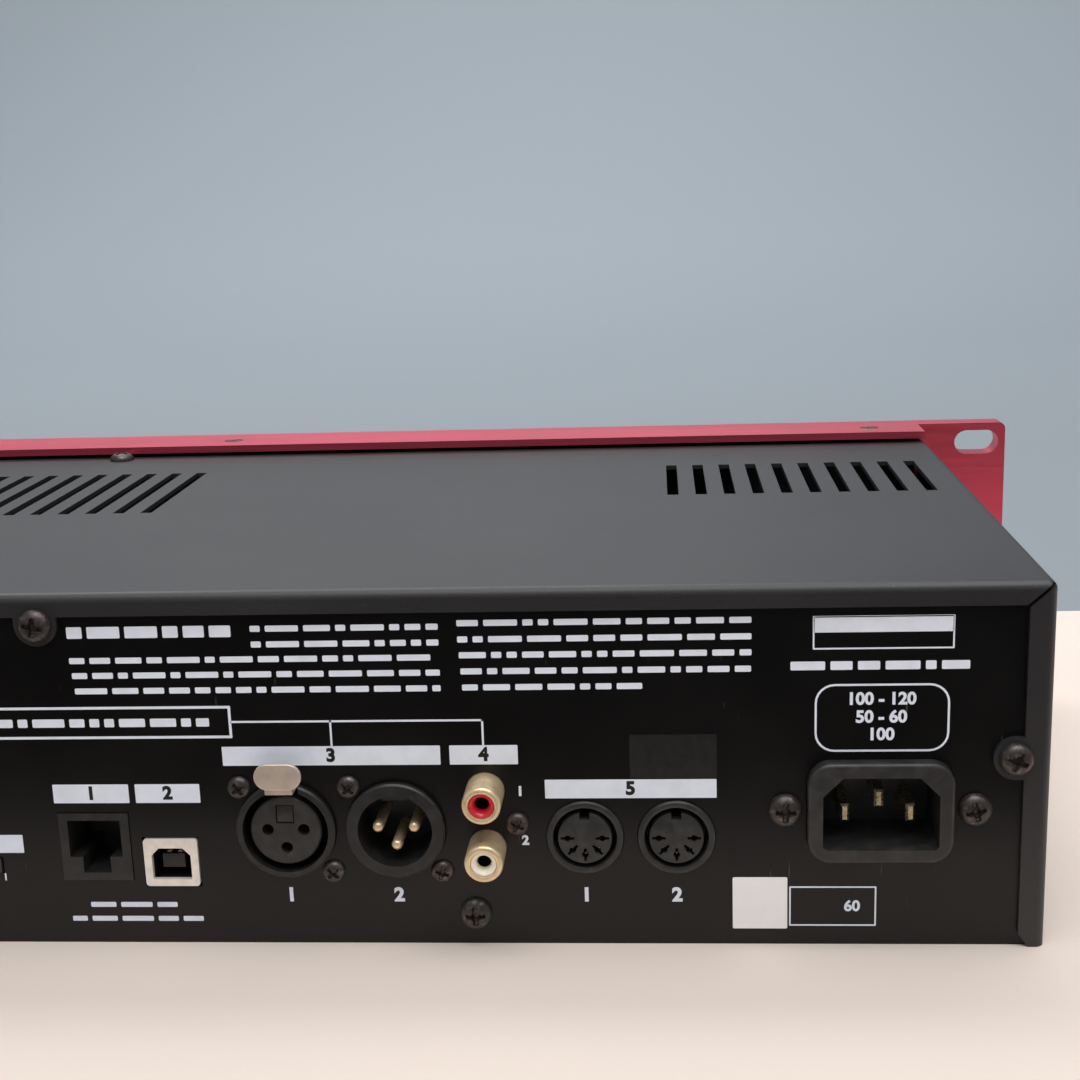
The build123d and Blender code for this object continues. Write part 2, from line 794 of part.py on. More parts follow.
def xlr_in_insert():
    """Moulded contact block with three sockets."""
    front = rear_face + xlr_insert_rise
    back = rear_inner - xlr_housing_depth
    insert = rod(xlr_in_x, xlr_z, xlr_insert_radius, back, front)
    insert = chamfer(insert.faces().sort_by(Axis.Y)[-1].edges(), 0.3)
    for x, z in pin_places(xlr_in_x):
        insert -= rod(x, z, xlr_socket_radius, front - 12, front + 1)
    insert -= centred(xlr_in_x, xlr_z + 3.9, 4.0, 4.2, front - 1.2, front + 1)
    return insert


# ---- Coaxial digital sockets ----
def rca_block():
    """Moulding behind the panel that carries both coaxial sockets and their screw."""
    left = rca_screw_x - 3
    right = rca_x + rca_block_width / 2
    top = underside + rca_heights[0] + rca_block_width / 2
    body = block((left, right), (rear_inner - rca_block_depth, rear_inner), (board_top, top))
    for height in rca_heights:
        body -= rod(rca_x, underside + height, rca_radius, rear_inner - rca_block_depth - 1, rear_face)
    screw_z = underside + rca_screw_height
    return body - rod(rca_screw_x, screw_z, small_screw_shank + screw_slack, rear_inner - 10, rear_face)


def rca_shells():
    shells = []
    back = rear_inner - rca_block_depth
    front = rear_face + rca_reach
    for height in rca_heights:
        z = underside + height
        shell = rod(rca_x, z, rca_radius, back, front)
        shell = chamfer(shell.faces().sort_by(Axis.Y)[-1].edges(), 0.35)
        shells.append(shell - rod(rca_x, z, rca_bore, back - 1, front + 1))
    return group(shells)


def rca_insulators():
    insulators = []
    for height in rca_heights:
        z = underside + height
        insulator = rod(rca_x, z, rca_bore, rear_inner - rca_block_depth, rear_face + rca_reach - rca_inset)
        insulators.append(insulator - rod(rca_x, z, rca_hole, rear_face, rear_face + rca_reach))
    return group(insulators)


# ---- Five-pole round sockets ----
def midi_sockets():
    """Two round sockets, each a ring, a groove and a core with five holes."""
    sockets = []
    front = rear_face + midi_rise
    for x in midi_x:
        half = midi_housing_width / 2
        back = rear_inner - midi_housing_depth
        socket = rod(x, midi_z, midi_radius, rear_inner, front)
        socket = chamfer(socket.faces().sort_by(Axis.Y)[-1].edges(), 0.3)
        socket += block((x - half, x + half), (back, rear_inner), (board_top, midi_z + half))
        groove = rod(x, midi_z, midi_groove_radius, front - midi_groove_depth, front + 1)
        groove -= rod(x, midi_z, midi_core_radius, front - midi_groove_depth - 1, front + 2)
        socket -= groove
        for place_x, z in midi_holes(x):
            socket -= rod(place_x, z, midi_hole_radius, front - midi_groove_depth, front + 1)
        key = (x - midi_key_width / 2, x + midi_key_width / 2)
        high = (midi_z + midi_core_radius - 1.6, midi_z + midi_groove_radius)
        socket -= block(key, (front - midi_groove_depth, front + 1), high)
        sockets.append(socket)
    return group(sockets)


def midi_holes(x):
    """Five contact holes on the lower half circle, as (x, z)."""
    angles = [math.radians(180 + step * midi_pin_step) for step in range(5)]
    return [(x + midi_pin_circle * math.cos(a), midi_z + midi_pin_circle * math.sin(a)) for a in angles]


# ---- Computer and pedal sockets ----
def usb_outline(width, tall, cut):
    return chamfer(Rectangle(width, tall).vertices().group_by(Axis.Y)[-1], cut)


def usb_shell():
    """Folded metal shell, open at the rear, with its face turned in round the cavity."""
    front = rear_face + usb_rise
    low = usb_z - usb_tall / 2
    shell = centred(usb_x, usb_z, usb_width, usb_tall, front - usb_depth, front)
    shell = fillet(shell.edges().filter_by(Axis.Y), 0.8)
    hollow = centred(usb_x, usb_z, usb_width - 2 * usb_sheet, usb_tall - 2 * usb_sheet,
                     front - usb_depth + usb_sheet, front - 2 * usb_sheet)
    shell -= hollow
    cavity = Pos(usb_x, usb_z - 0.3) * usb_outline(usb_cavity_width, usb_cavity_tall, usb_cavity_chamfer)
    shell -= prism(cavity, front - 3, front + 1)
    for sign in (-1, 1):
        leg_x = usb_x + sign * (usb_width / 2 - 1)
        shell += block((leg_x - 0.5, leg_x + 0.5), (front - 12, front - 10), (board_top, low + 0.5))
    return shell


def usb_tongue():
    """Moulded core inside the shell, with the tongue that carries the contacts."""
    front = rear_face + usb_rise
    gap = usb_sheet
    body = centred(usb_x, usb_z, usb_width - 2 * gap, usb_tall - 2 * gap, front - usb_depth + gap, front - 11)
    tongue = centred(usb_x, usb_z - 0.3, usb_tongue_width, usb_tongue_tall, front - 11.5, front - 2.0)
    return body + tongue


def pedal_socket():
    """Moulded eight-pole socket with a stepped opening for the plug and its latch."""
    front = rear_face + pedal_rise
    half = pedal_width / 2
    high = pedal_z + pedal_tall / 2
    body = block((pedal_x - half, pedal_x + half), (front - pedal_depth, rear_inner), (board_top, high))
    body += centred(pedal_x, pedal_z, pedal_width, pedal_tall, rear_inner - 1, front)
    top = pedal_z + pedal_tall / 2 - pedal_cavity_top
    back = front - pedal_cavity_depth
    half = pedal_cavity_width / 2
    body -= block((pedal_x - half, pedal_x + half), (back, front + 1), (top - pedal_cavity_tall, top))
    half = pedal_step_width / 2
    floor = top - pedal_cavity_tall - pedal_step_tall
    body -= block((pedal_x - half, pedal_x + half), (back, front + 1), (floor, top))
    for x in pedal_contact_places():
        groove = (x - pedal_contact_width / 2 - 0.05, x + pedal_contact_width / 2 + 0.05)
        body -= block(groove, (back, front - 1.0), (top - 0.5, top + 0.9))
    return body


def pedal_contact_places():
    first = pedal_x - pedal_contact_pitch * (pedal_contact_count - 1) / 2
    return [first + step * pedal_contact_pitch for step in range(pedal_contact_count)]


def pedal_contacts():
    """Sprung contact blades that hang from the roof of the pedal socket."""
    front = rear_face + pedal_rise
    top = pedal_z + pedal_tall / 2 - pedal_cavity_top
    blades = []
    for x in pedal_contact_places():
        side_face = Polyline(
            (front - 2.0, top + 0.8),
            (front - 2.0, top + 0.3),
            (front - 11.0, top - 2.6),
            (front - 11.6, top - 2.2),
            (front - 11.6, top + 0.8),
            close=True,
        )
        plane = Plane(origin=(x - pedal_contact_width / 2, 0, 0), x_dir=(0, 1, 0), z_dir=(1, 0, 0))
        blades.append(extrude(plane * make_face(side_face), amount=pedal_contact_width))
    return group(blades)


# ---- Ground-lift slide switch ----
def ground_switch_body():
    half = ground_body_width / 2
    body = block((ground_x - half, ground_x + half), (rear_inner - ground_body_depth, rear_inner),
                 (board_top, ground_z + ground_body_tall / 2))
    gap = front_fit
    body -= centred(ground_x, ground_z, ground_window_width, ground_lever_tall + 2 * gap,
                    rear_inner - 3.5, rear_inner + 1)
    return body


def ground_switch_lever():
    """Slider that travels across the switch's window; at rest it is at the -X end."""
    gap = (ground_window_width - ground_lever_width - ground_travel) / 2
    x = ground_x - ground_window_width / 2 + gap + ground_lever_width / 2
    front = rear_face + ground_lever_rise
    lever = centred(x, ground_z, ground_lever_width, ground_lever_tall - 2 * 0.1, rear_inner - 3.1, front)
    return chamfer(lever.faces().sort_by(Axis.Y)[-1].edges(), 0.3)


# ---- Quarter-inch jacks ----
def rear_jack(x):
    front = rear_face + jack_thread_rise
    body = rod(x, rear_jack_z, jack_bushing_radius, rear_inner - 2, front)
    body = chamfer(body.faces().sort_by(Axis.Y)[-1].edges(), 0.4)
    half = jack_body_width / 2
    high = rear_jack_z + jack_body_tall / 2
    body += block((x - half, x + half), (rear_inner - jack_body_depth, rear_inner), (board_top, high))
    return body - rod(x, rear_jack_z, jack_bore_radius, rear_inner - jack_body_depth + 2, front + 1)


def front_jack(z):
    front = panel_front - jack_thread_rise
    body = rod(front_jack_x, z, jack_bushing_radius, front, chassis_sheet + 2)
    body = chamfer(body.faces().sort_by(Axis.Y)[0].edges(), 0.4)
    back = chassis_sheet + jack_body_depth
    body += centred(front_jack_x, z, jack_body_width, jack_body_tall, chassis_sheet, back)
    return body - rod(front_jack_x, z, jack_bore_radius, front - 1, back - 2)


def phone_jacks():
    jacks = [rear_jack(x) for x in rear_jack_x]
    jacks += [front_jack(z) for z in front_jack_heights]
    return group(jacks)


def jack_nut():
    """Hexagonal nut along Z, standing on z = 0."""
    nut = extrude(RegularPolygon(jack_nut_radius, 6), amount=jack_nut_thickness)
    nut &= Pos(0, 0, jack_nut_thickness / 2) * Cylinder(jack_nut_radius * 0.95, jack_nut_thickness)
    return nut - Cylinder(jack_bushing_radius, 4 * jack_nut_thickness)


def jack_nuts():
    nut = jack_nut()
    nuts = [facing_rear(nut, x, rear_face, rear_jack_z) for x in rear_jack_x]
    nuts += [facing_front(nut, front_jack_x, panel_front, z) for z in front_jack_heights]
    return group(nuts)


# ---- Front controls ----
def display_window():
    gap = display_glass_gap
    width = display_width - 2 * gap
    tall = display_tall - 2 * gap
    glass = centred(display_x, display_z, width, tall, panel_front, panel_front + display_glass)
    return fillet(glass.faces().sort_by(Axis.Y)[0].edges(), 0.3)


def display_module():
    """Display in its metal frame, between the sub-panel and the control board."""
    wide, tall = display_module_width, display_module_tall
    module = centred(display_x, display_z, wide, tall, chassis_sheet, ui_board_y)
    well = chassis_sheet + 1.5
    return module - centred(display_x, display_z, display_view_width, display_view_tall, 0, well)


def knob(x, z, radius, length, skirt):
    """Knob on the front of the panel, with finger flutes and a pointer groove, bored for its shaft."""
    back = panel_front - knob_gap
    front = back - length
    body = rod(x, z, radius, front, back)
    body = chamfer(body.faces().sort_by(Axis.Y)[0].edges(), 1.2)
    flutes = 12
    for step in range(flutes):
        angle = 2 * math.pi * (step + 0.5) / flutes
        reach = radius + 0.55
        body -= rod(x + reach * math.cos(angle), z + reach * math.sin(angle), 1.3, front - 1, back - skirt)
    body -= block((x - 0.4, x + 0.4), (front - 1, front + 0.8), (z + radius * 0.35, z + radius + 1))
    return body - rod(x, z, shaft_radius + shaft_grip, front + 3, back + 1)


def shaft(x, z, length):
    """Shaft from inside its bushing to near the knob's end."""
    front = panel_front - knob_gap - length + 3.2
    return rod(x, z, shaft_radius, front, ui_board_y - pot_depth + 1)


def pot_body(x, z):
    """Control's case on the control board, with the bushing that its shaft turns in."""
    half = pot_size / 2
    case = block((x - half, x + half), (ui_board_y - pot_depth, ui_board_y), (z - half, z + half))
    case += rod(x, z, bushing_radius, -2, ui_board_y - pot_depth + 0.5)
    return case - rod(x, z, shaft_radius + shaft_fit, -3, ui_board_y - pot_depth + 1.4)


def pot_bodies():
    places = [(x, knob_z) for x in knob_x]
    places.append((select_x, select_z))
    return group([pot_body(x, z) for x, z in places])


def button(x):
    """Cap through the panel, a collar that stops it behind the panel, and a stem to its switch."""
    cap_shape = RectangleRounded(button_width, button_tall, button_corner)
    cap = prism(Pos(x, button_z) * cap_shape, panel_front - button_rise, 1.0)
    cap = fillet(cap.faces().sort_by(Axis.Y)[0].edges(), 0.6)
    collar_front = front_fit
    width = button_width + 2 * button_collar
    tall = button_tall + 2 * button_collar
    cap += centred(x, button_z, width, tall, collar_front, collar_front + 1.2)
    stem_end = ui_board_y - tact_depth - tact_gap - button_travel
    return cap + centred(x, button_z, button_stem, button_stem, collar_front, stem_end)


def tact_switches():
    """Small press switches on the control board, one behind each button."""
    switches = []
    for x in button_x:
        switch = centred(x, button_z, tact_size, tact_size, ui_board_y - tact_depth, ui_board_y)
        switches.append(fillet(switch.edges().filter_by(Axis.Y), 0.5))
    return group(switches)


def power_switch_body():
    """Switch housing pushed through the panel, with a frame round its rocker."""
    outer_width = rocker_window_width + 2 * (rocker_gap + rocker_wall)
    outer_tall = rocker_window_tall + 2 * (rocker_gap + rocker_wall)
    front = panel_front - rocker_frame_rise
    body = centred(rocker_x, 0, outer_width, outer_tall, panel_front - 0.2, panel_front + rocker_body_depth)
    frame = RectangleRounded(rocker_frame_width, rocker_frame_tall, 1.5)
    rim = prism(Pos(rocker_x, 0) * frame, front, panel_front)
    body += chamfer(rim.faces().sort_by(Axis.Y)[0].edges(), 0.5)
    width = rocker_window_width + 2 * rocker_gap
    tall = rocker_window_tall + 2 * rocker_gap
    body -= centred(rocker_x, 0, width, tall, front - 1, panel_front + 12)
    pins = Pos(rocker_x, panel_front + rocker_pivot_depth, 0) * Rot(0, 90, 0)
    body -= pins * Cylinder(rocker_pin_radius + shaft_fit, width + 1.6)
    return body


def power_rocker():
    """Rocker with two finger slopes on a cross pin; at rest its upper half is pressed in."""
    front = panel_front - rocker_frame_rise - 1.4
    pivot = panel_front + rocker_pivot_depth
    half = rocker_window_tall / 2 - 0.9
    side_face = Polyline(
        (-half, -3.0),
        (-half, pivot - front - 0.6),
        (0, pivot - front - 2.4),
        (half, pivot - front - 0.6),
        (half, -3.0),
        close=True,
    )
    profile = make_face(side_face)
    plane = Plane(origin=(rocker_x - rocker_window_width / 2, pivot, 0), x_dir=(0, 0, 1), z_dir=(1, 0, 0))
    paddle = extrude(plane * profile, amount=rocker_window_width)
    paddle += Pos(rocker_x, pivot, 0) * Rot(0, 90, 0) * Cylinder(rocker_pin_radius, rocker_window_width + 1.6)
    about = Pos(rocker_x, pivot, 0) * Rot(-rocker_tilt, 0, 0) * Pos(-rocker_x, -pivot, 0)
    return about * paddle


# ---- Boards ----
def ui_board():
    half = ui_board_tall / 2
    high = min(half, cover_inner - chassis_sheet - 1)
    return block((-ui_board_left, ui_board_right), (ui_board_y, ui_board_back), (-half + 6, high))


def main_board():
    rear = rear_inner - board_rear_gap
    across = (main_board_left, main_board_right)
    return block(across, (rear - main_board_depth, rear), (board_under, board_top))


def board_components():
    """Processor, converters and memory on the main board, and the ribbon's two headers."""
    rear = rear_inner - board_rear_gap
    places = [
        (-20.0, rear - 84, 28.0, 28.0),
        (-70.0, rear - 80, 20.0, 14.0),
        (-100.0, rear - 56, 14.0, 14.0),
        (110.0, rear - 74, 20.0, 14.0),
        (140.0, rear - 62, 10.0, 10.0),
    ]
    chips = []
    for x, y, width, depth in places:
        chips.append(Pos(x, y, board_top + chip_tall / 2) * Box(width, depth, chip_tall))
    return group([*chips, *ribbon_headers()])


def heatsink():
    """Finned block that cools the processor's regulators, under the middle vents."""
    base = Pos(heatsink_x, heatsink_y, board_top + 1.5) * Box(heatsink_width, heatsink_depth, 3.0)
    step = (heatsink_width - heatsink_fin) / (heatsink_fins - 1)
    for index in range(heatsink_fins):
        x = heatsink_x - heatsink_width / 2 + heatsink_fin / 2 + index * step
        fin = Box(heatsink_fin, heatsink_depth, heatsink_tall)
        base += Pos(x, heatsink_y, board_top + heatsink_tall / 2) * fin
    return base


def power_supply_board():
    half = supply_board_width / 2
    return block((supply_board_x - half, supply_board_x + half), (supply_board_front, supply_board_rear),
                 (board_under, board_top))


def supply_transformer():
    """Switching transformer: a wound bobbin between the legs of a ferrite core."""
    middle = Pos(supply_board_x, transformer_y, board_top + transformer_tall / 2)
    core = Box(transformer_size, core_depth, transformer_tall)
    core = fillet(core.edges().filter_by(Axis.Y), 1.0)
    winding_width = transformer_size - 2 * core_wall
    winding = Box(winding_width, winding_depth, transformer_tall - core_wall)
    winding = fillet(winding.edges().filter_by(Axis.Z), 4.0)
    return middle * (core + winding)


def supply_capacitors():
    places = [(-12.0, 72.0), (10.0, 72.0), (-12.0, 50.0), (10.0, 50.0)]
    cans = []
    for x, y in places:
        can = Cylinder(capacitor_radius, capacitor_tall)
        can = fillet(can.edges().group_by(Axis.Z)[-1], 1.0)
        cans.append(Pos(supply_board_x + x, y, board_top + capacitor_tall / 2) * can)
    return group(cans)


def ribbon_headers():
    """Headers at the two ends of the ribbon: one on each board."""
    half = ribbon_width / 2 + 2
    across = (ribbon_x - half, ribbon_x + half)
    low = block(across, (ribbon_far - header_depth / 2, ribbon_far + header_depth / 2),
                (board_top, board_top + header_tall))
    high_z = board_top + header_tall + ribbon_rise
    near = block(across, (ui_board_back, ui_board_back + header_tall),
                 (high_z - header_depth / 2, high_z + header_depth / 2))
    return [low, near]


def ribbon_cable():
    """Flat cable from the main board's header, up and forward to the control board's header."""
    low_z = board_top + header_tall
    high_z = low_z + ribbon_rise
    near_y = ui_board_back + header_tall
    bend = 7.0
    half = ribbon_sheet / 2
    outer = Polyline((ribbon_far + half, low_z), (ribbon_far + half, high_z + half), (near_y, high_z + half))
    inner = Polyline((near_y, high_z - half), (ribbon_far - half, high_z - half), (ribbon_far - half, low_z))
    outline = make_face([*outer.edges(), Line((near_y, high_z + half), (near_y, high_z - half)),
                         *inner.edges(), Line((ribbon_far - half, low_z), (ribbon_far + half, low_z))])
    corners = outline.vertices()
    outer_corner = corners.sort_by_distance((ribbon_far + half, high_z + half))[0]
    outline = fillet(outer_corner, bend + ribbon_sheet)
    inner_corner = outline.vertices().sort_by_distance((ribbon_far - half, high_z - half))[0]
    outline = fillet(inner_corner, bend)
    plane = Plane(origin=(ribbon_x - ribbon_width / 2, 0, 0), x_dir=(0, 1, 0), z_dir=(1, 0, 0))
    return extrude(plane * outline, amount=ribbon_width)


def board_standoffs():
    """Posts between the tray and the two boards, and from the sub-panel to the control board."""
    rear = rear_inner - board_rear_gap
    inset = 6.0
    posts = []
    half = supply_board_width / 2 - 4
    for x in (main_board_left + inset, 0.0, main_board_right - inset):
        for y in (rear - main_board_depth + inset, rear - 32):
            posts.append((x, y))
    for x in (supply_board_x - half, supply_board_x + half):
        for y in (supply_board_front + 4, supply_board_rear - 4):
            posts.append((x, y))
    tall = board_under - tray_top
    placed = [Pos(x, y, tray_top + tall / 2) * Cylinder(standoff_radius, tall) for x, y in posts]
    for x in (-ui_board_left + 6, 24.0, ui_board_right - 6):
        placed.append(rod(x, cover_inner - 12, standoff_radius, chassis_sheet, ui_board_y))
    return group(placed)


def build_all():
    parts = {
        "top_cover": top_cover(),
        "bottom_tray": bottom_tray(),
        "rear_panel": rear_panel(),
        "faceplate": faceplate(),
        "front_subpanel": front_subpanel(),
        "panel_screws": panel_screws(),
        "connector_screws": connector_screws(),
        "faceplate_screws": faceplate_screws(),
        "mains_inlet": mains_inlet(),
        "mains_blades": mains_blades(),
        "xlr_out_shells": xlr_out_shells(),
        "xlr_out_pins": xlr_out_pins(),
        "xlr_in_shell": xlr_in_shell(),
        "xlr_in_insert": xlr_in_insert(),
        "xlr_in_latch": xlr_in_latch(),
        "rca_block": rca_block(),
        "rca_shells": rca_shells(),
        "rca_insulators": rca_insulators(),
        "midi_sockets": midi_sockets(),
        "usb_shell": usb_shell(),
        "usb_tongue": usb_tongue(),
        "pedal_socket": pedal_socket(),
        "pedal_contacts": pedal_contacts(),
        "ground_switch_body": ground_switch_body(),
        "ground_switch_lever": ground_switch_lever(),
        "phone_jacks": phone_jacks(),
        "jack_nuts": jack_nuts(),
        "display_window": display_window(),
        "display_module": display_module(),
        "pot_bodies": pot_bodies(),
        "tact_switches": tact_switches(),
        "power_switch_body": power_switch_body(),
        "power_rocker": power_rocker(),
        "ui_board": ui_board(),
        "main_board": main_board(),
        "board_components": board_components(),
        "heatsink": heatsink(),
        "power_supply_board": power_supply_board(),
        "supply_transformer": supply_transformer(),
        "supply_capacitors": supply_capacitors(),
        "ribbon_cable": ribbon_cable(),
        "board_standoffs": board_standoffs(),
    }
    for name, x in zip(knob_names, knob_x):
        parts[name] = knob(x, knob_z, knob_radius, knob_length, 2.5)
        parts[name.replace("knob", "shaft")] = shaft(x, knob_z, knob_length)
    parts["select_knob"] = knob(select_x, select_z, select_radius, select_length, 2.5)
    parts["select_shaft"] = shaft(select_x, select_z, select_length)
    for name, x in zip(button_names, button_x):
        parts[name] = button(x)
    return parts


os.makedirs("parts", exist_ok=True)
for node, shape in build_all().items():
    export_step(shape, f"parts/{node}.step")
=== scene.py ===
"""Looks of a 2U rack effects unit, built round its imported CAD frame.

Metres and the row's frame throughout: +X right seen from the front, -Y out of the front, +Z up.
"""

import math
import random

import bmesh
import bpy
from mathutils import Matrix, Vector


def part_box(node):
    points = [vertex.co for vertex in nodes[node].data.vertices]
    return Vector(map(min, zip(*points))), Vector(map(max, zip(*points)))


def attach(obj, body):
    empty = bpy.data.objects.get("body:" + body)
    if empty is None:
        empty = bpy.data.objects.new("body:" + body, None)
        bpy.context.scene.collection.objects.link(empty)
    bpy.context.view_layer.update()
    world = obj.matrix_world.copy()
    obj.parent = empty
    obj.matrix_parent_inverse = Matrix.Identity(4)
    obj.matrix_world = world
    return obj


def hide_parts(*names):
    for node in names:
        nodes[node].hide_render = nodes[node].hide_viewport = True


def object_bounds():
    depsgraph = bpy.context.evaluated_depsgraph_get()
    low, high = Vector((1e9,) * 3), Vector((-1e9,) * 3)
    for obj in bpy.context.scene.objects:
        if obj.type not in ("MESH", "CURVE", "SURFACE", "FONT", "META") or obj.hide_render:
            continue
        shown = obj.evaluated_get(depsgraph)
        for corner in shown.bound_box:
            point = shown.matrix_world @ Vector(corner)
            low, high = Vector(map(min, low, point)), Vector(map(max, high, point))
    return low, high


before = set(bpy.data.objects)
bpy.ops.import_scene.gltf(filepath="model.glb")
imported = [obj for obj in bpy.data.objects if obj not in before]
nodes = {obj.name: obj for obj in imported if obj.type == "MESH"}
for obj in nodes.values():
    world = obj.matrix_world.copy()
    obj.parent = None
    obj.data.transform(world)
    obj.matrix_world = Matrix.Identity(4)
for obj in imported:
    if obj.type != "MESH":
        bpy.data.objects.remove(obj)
cad_low, cad_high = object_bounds()
MM = 0.001

# ---- Places, all read from the frame ----
panel_low, panel_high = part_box("rear_panel")
plate_low, plate_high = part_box("faceplate")
cover_low, cover_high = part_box("top_cover")
rear_y = panel_high.y
front_y = plate_low.y
base_z = panel_low.z


def islands(node):
    """The separate solids of a CAD node, each as (low, high) corners, ordered by X and then Z."""
    mesh = bmesh.new()
    mesh.from_mesh(nodes[node].data)
    bmesh.ops.remove_doubles(mesh, verts=mesh.verts, dist=1e-6)
    seen = set()
    found = []
    for start in mesh.verts:
        if start in seen:
            continue
        stack, cluster = [start], []
        seen.add(start)
        while stack:
            vert = stack.pop()
            cluster.append(vert.co.copy())
            for edge in vert.link_edges:
                other = edge.other_vert(vert)
                if other not in seen:
                    seen.add(other)
                    stack.append(other)
        low = Vector([min(point[axis] for point in cluster) for axis in range(3)])
        high = Vector([max(point[axis] for point in cluster) for axis in range(3)])
        found.append((low, high))
    mesh.free()
    return sorted(found, key=lambda corners: (round(corners[0].x, 5), corners[0].z))


def middle(corners):
    return (corners[0] + corners[1]) / 2


# ---- Procedural materials ----
MIX_FIRST, MIX_SECOND, MIX_RESULT = 6, 7, 2  # a Mix node's colour sockets, whose names are not unique


class Look:
    """A Principled material whose colour, roughness and bump come from 3-D noise in object space."""

    def __init__(self, name, colour, rough, metal=0.0, **sockets):
        self.material = bpy.data.materials.new(name)
        self.material.use_nodes = True
        self.nodes = self.material.node_tree.nodes
        self.links = self.material.node_tree.links
        self.shader = self.nodes["Principled BSDF"]
        self.shader.inputs["Base Color"].default_value = (*colour, 1)
        self.shader.inputs["Roughness"].default_value = rough
        self.shader.inputs["Metallic"].default_value = metal
        for socket, value in sockets.items():
            self.shader.inputs[socket.replace("_", " ")].default_value = value
        self.place = self.nodes.new("ShaderNodeTexCoord").outputs["Object"]

    def stretched(self, x, y, z):
        mapping = self.nodes.new("ShaderNodeMapping")
        mapping.inputs["Scale"].default_value = (x, y, z)
        self.links.new(self.place, mapping.inputs["Vector"])
        return mapping.outputs["Vector"]

    def noise(self, size, detail=3.0, stretch=None, rough=0.5):
        """Noise whose features are about `size` metres across."""
        node = self.nodes.new("ShaderNodeTexNoise")
        node.inputs["Scale"].default_value = 1 / size
        node.inputs["Detail"].default_value = detail
        node.inputs["Roughness"].default_value = rough
        self.links.new(self.stretched(*stretch) if stretch else self.place, node.inputs["Vector"])
        return node.outputs["Fac"]

    def cells(self, size, output="Distance", stretch=None):
        node = self.nodes.new("ShaderNodeTexVoronoi")
        node.inputs["Scale"].default_value = 1 / size
        self.links.new(self.stretched(*stretch) if stretch else self.place, node.inputs["Vector"])
        return node.outputs[output]

    def bands(self, size, axis="X"):
        node = self.nodes.new("ShaderNodeTexWave")
        node.bands_direction = axis
        node.inputs["Scale"].default_value = 0.314 / size
        self.links.new(self.place, node.inputs["Vector"])
        return node.outputs["Fac"]

    def between(self, value, low, high, out_low=0.0, out_high=1.0):
        node = self.nodes.new("ShaderNodeMapRange")
        ends = {"From Min": low, "From Max": high, "To Min": out_low, "To Max": out_high}
        for socket, number in ends.items():
            node.inputs[socket].default_value = number
        self.links.new(value, node.inputs["Value"])
        return node.outputs["Result"]

    def times(self, first, second):
        node = self.nodes.new("ShaderNodeMath")
        node.operation = "MULTIPLY"
        self.links.new(first, node.inputs[0])
        self.links.new(second, node.inputs[1])
        return node.outputs[0]

    def along(self, axis):
        node = self.nodes.new("ShaderNodeSeparateXYZ")
        self.links.new(self.place, node.inputs[0])
        return node.outputs[axis]

    def tint(self, value, colour):
        """Blend the colour so far towards another where `value` is 1."""
        node = self.nodes.new("ShaderNodeMix")
        node.data_type = "RGBA"
        socket = self.shader.inputs["Base Color"]
        node.inputs[MIX_FIRST].default_value = socket.default_value
        node.inputs[MIX_SECOND].default_value = (*colour, 1)
        self.links.new(value, node.inputs["Factor"])
        if socket.links:
            self.links.new(socket.links[0].from_socket, node.inputs[MIX_FIRST])
        self.links.new(node.outputs[MIX_RESULT], socket)
        return self

    def gloss(self, value, low, high, rough_low, rough_high):
        roughness = self.between(value, low, high, rough_low, rough_high)
        self.links.new(roughness, self.shader.inputs["Roughness"])
        return self

    def bump(self, value, depth, strength=1.0):
        node = self.nodes.new("ShaderNodeBump")
        node.inputs["Strength"].default_value = strength
        node.inputs["Distance"].default_value = depth
        self.links.new(value, node.inputs["Height"])
        socket = self.shader.inputs["Normal"]
        if socket.links:
            self.links.new(socket.links[0].from_socket, node.inputs["Normal"])
        self.links.new(node.outputs["Normal"], socket)
        return self


def scaled(colour, factor, lift=0.0, most=1.0):
    return tuple(min(most, channel * factor + lift) for channel in colour)


def scratches(look, size, stretch):
    """Thin scattered lines: the crests of a stretched noise, thinned out by a broader one."""
    line = look.between(look.noise(size, 2.0, stretch), 0.70, 0.74)
    return look.times(line, look.between(look.noise(size * 9, 1.0), 0.52, 0.66))


def dust(look, size=0.6 * MM, amount=0.78):
    return look.between(look.noise(size, 1.0), amount, amount + 0.05)


def powder_coat():
    look = Look("powder_coat", (0.021, 0.020, 0.021), 0.46, Specular_IOR_Level=0.5)
    grain = look.noise(0.45 * MM, 3.0)
    look.tint(look.between(look.noise(30 * MM, 3.0), 0.35, 0.7), (0.026, 0.025, 0.026))
    look.tint(look.between(grain, 0.64, 0.78), (0.05, 0.049, 0.05))
    look.tint(dust(look, 0.7 * MM, 0.80), (0.22, 0.21, 0.20))
    look.gloss(look.noise(60 * MM, 4.0), 0.3, 0.7, 0.42, 0.50)
    look.bump(grain, 0.05 * MM, 0.6)
    return look.bump(look.noise(2.2 * MM, 2.0), 0.02 * MM, 0.4)


def enamel():
    look = Look("panel_enamel", (0.0040, 0.0036, 0.0036), 0.33, Specular_IOR_Level=0.36)
    look.tint(scratches(look, 1.1 * MM, (1.0, 1.0, 0.12)), (0.05, 0.048, 0.045))
    look.tint(dust(look, 0.5 * MM, 0.80), (0.12, 0.115, 0.11))
    look.gloss(look.noise(24 * MM, 5.0), 0.3, 0.7, 0.28, 0.38)
    return look.bump(look.noise(0.8 * MM, 2.0), 0.012 * MM, 0.5)


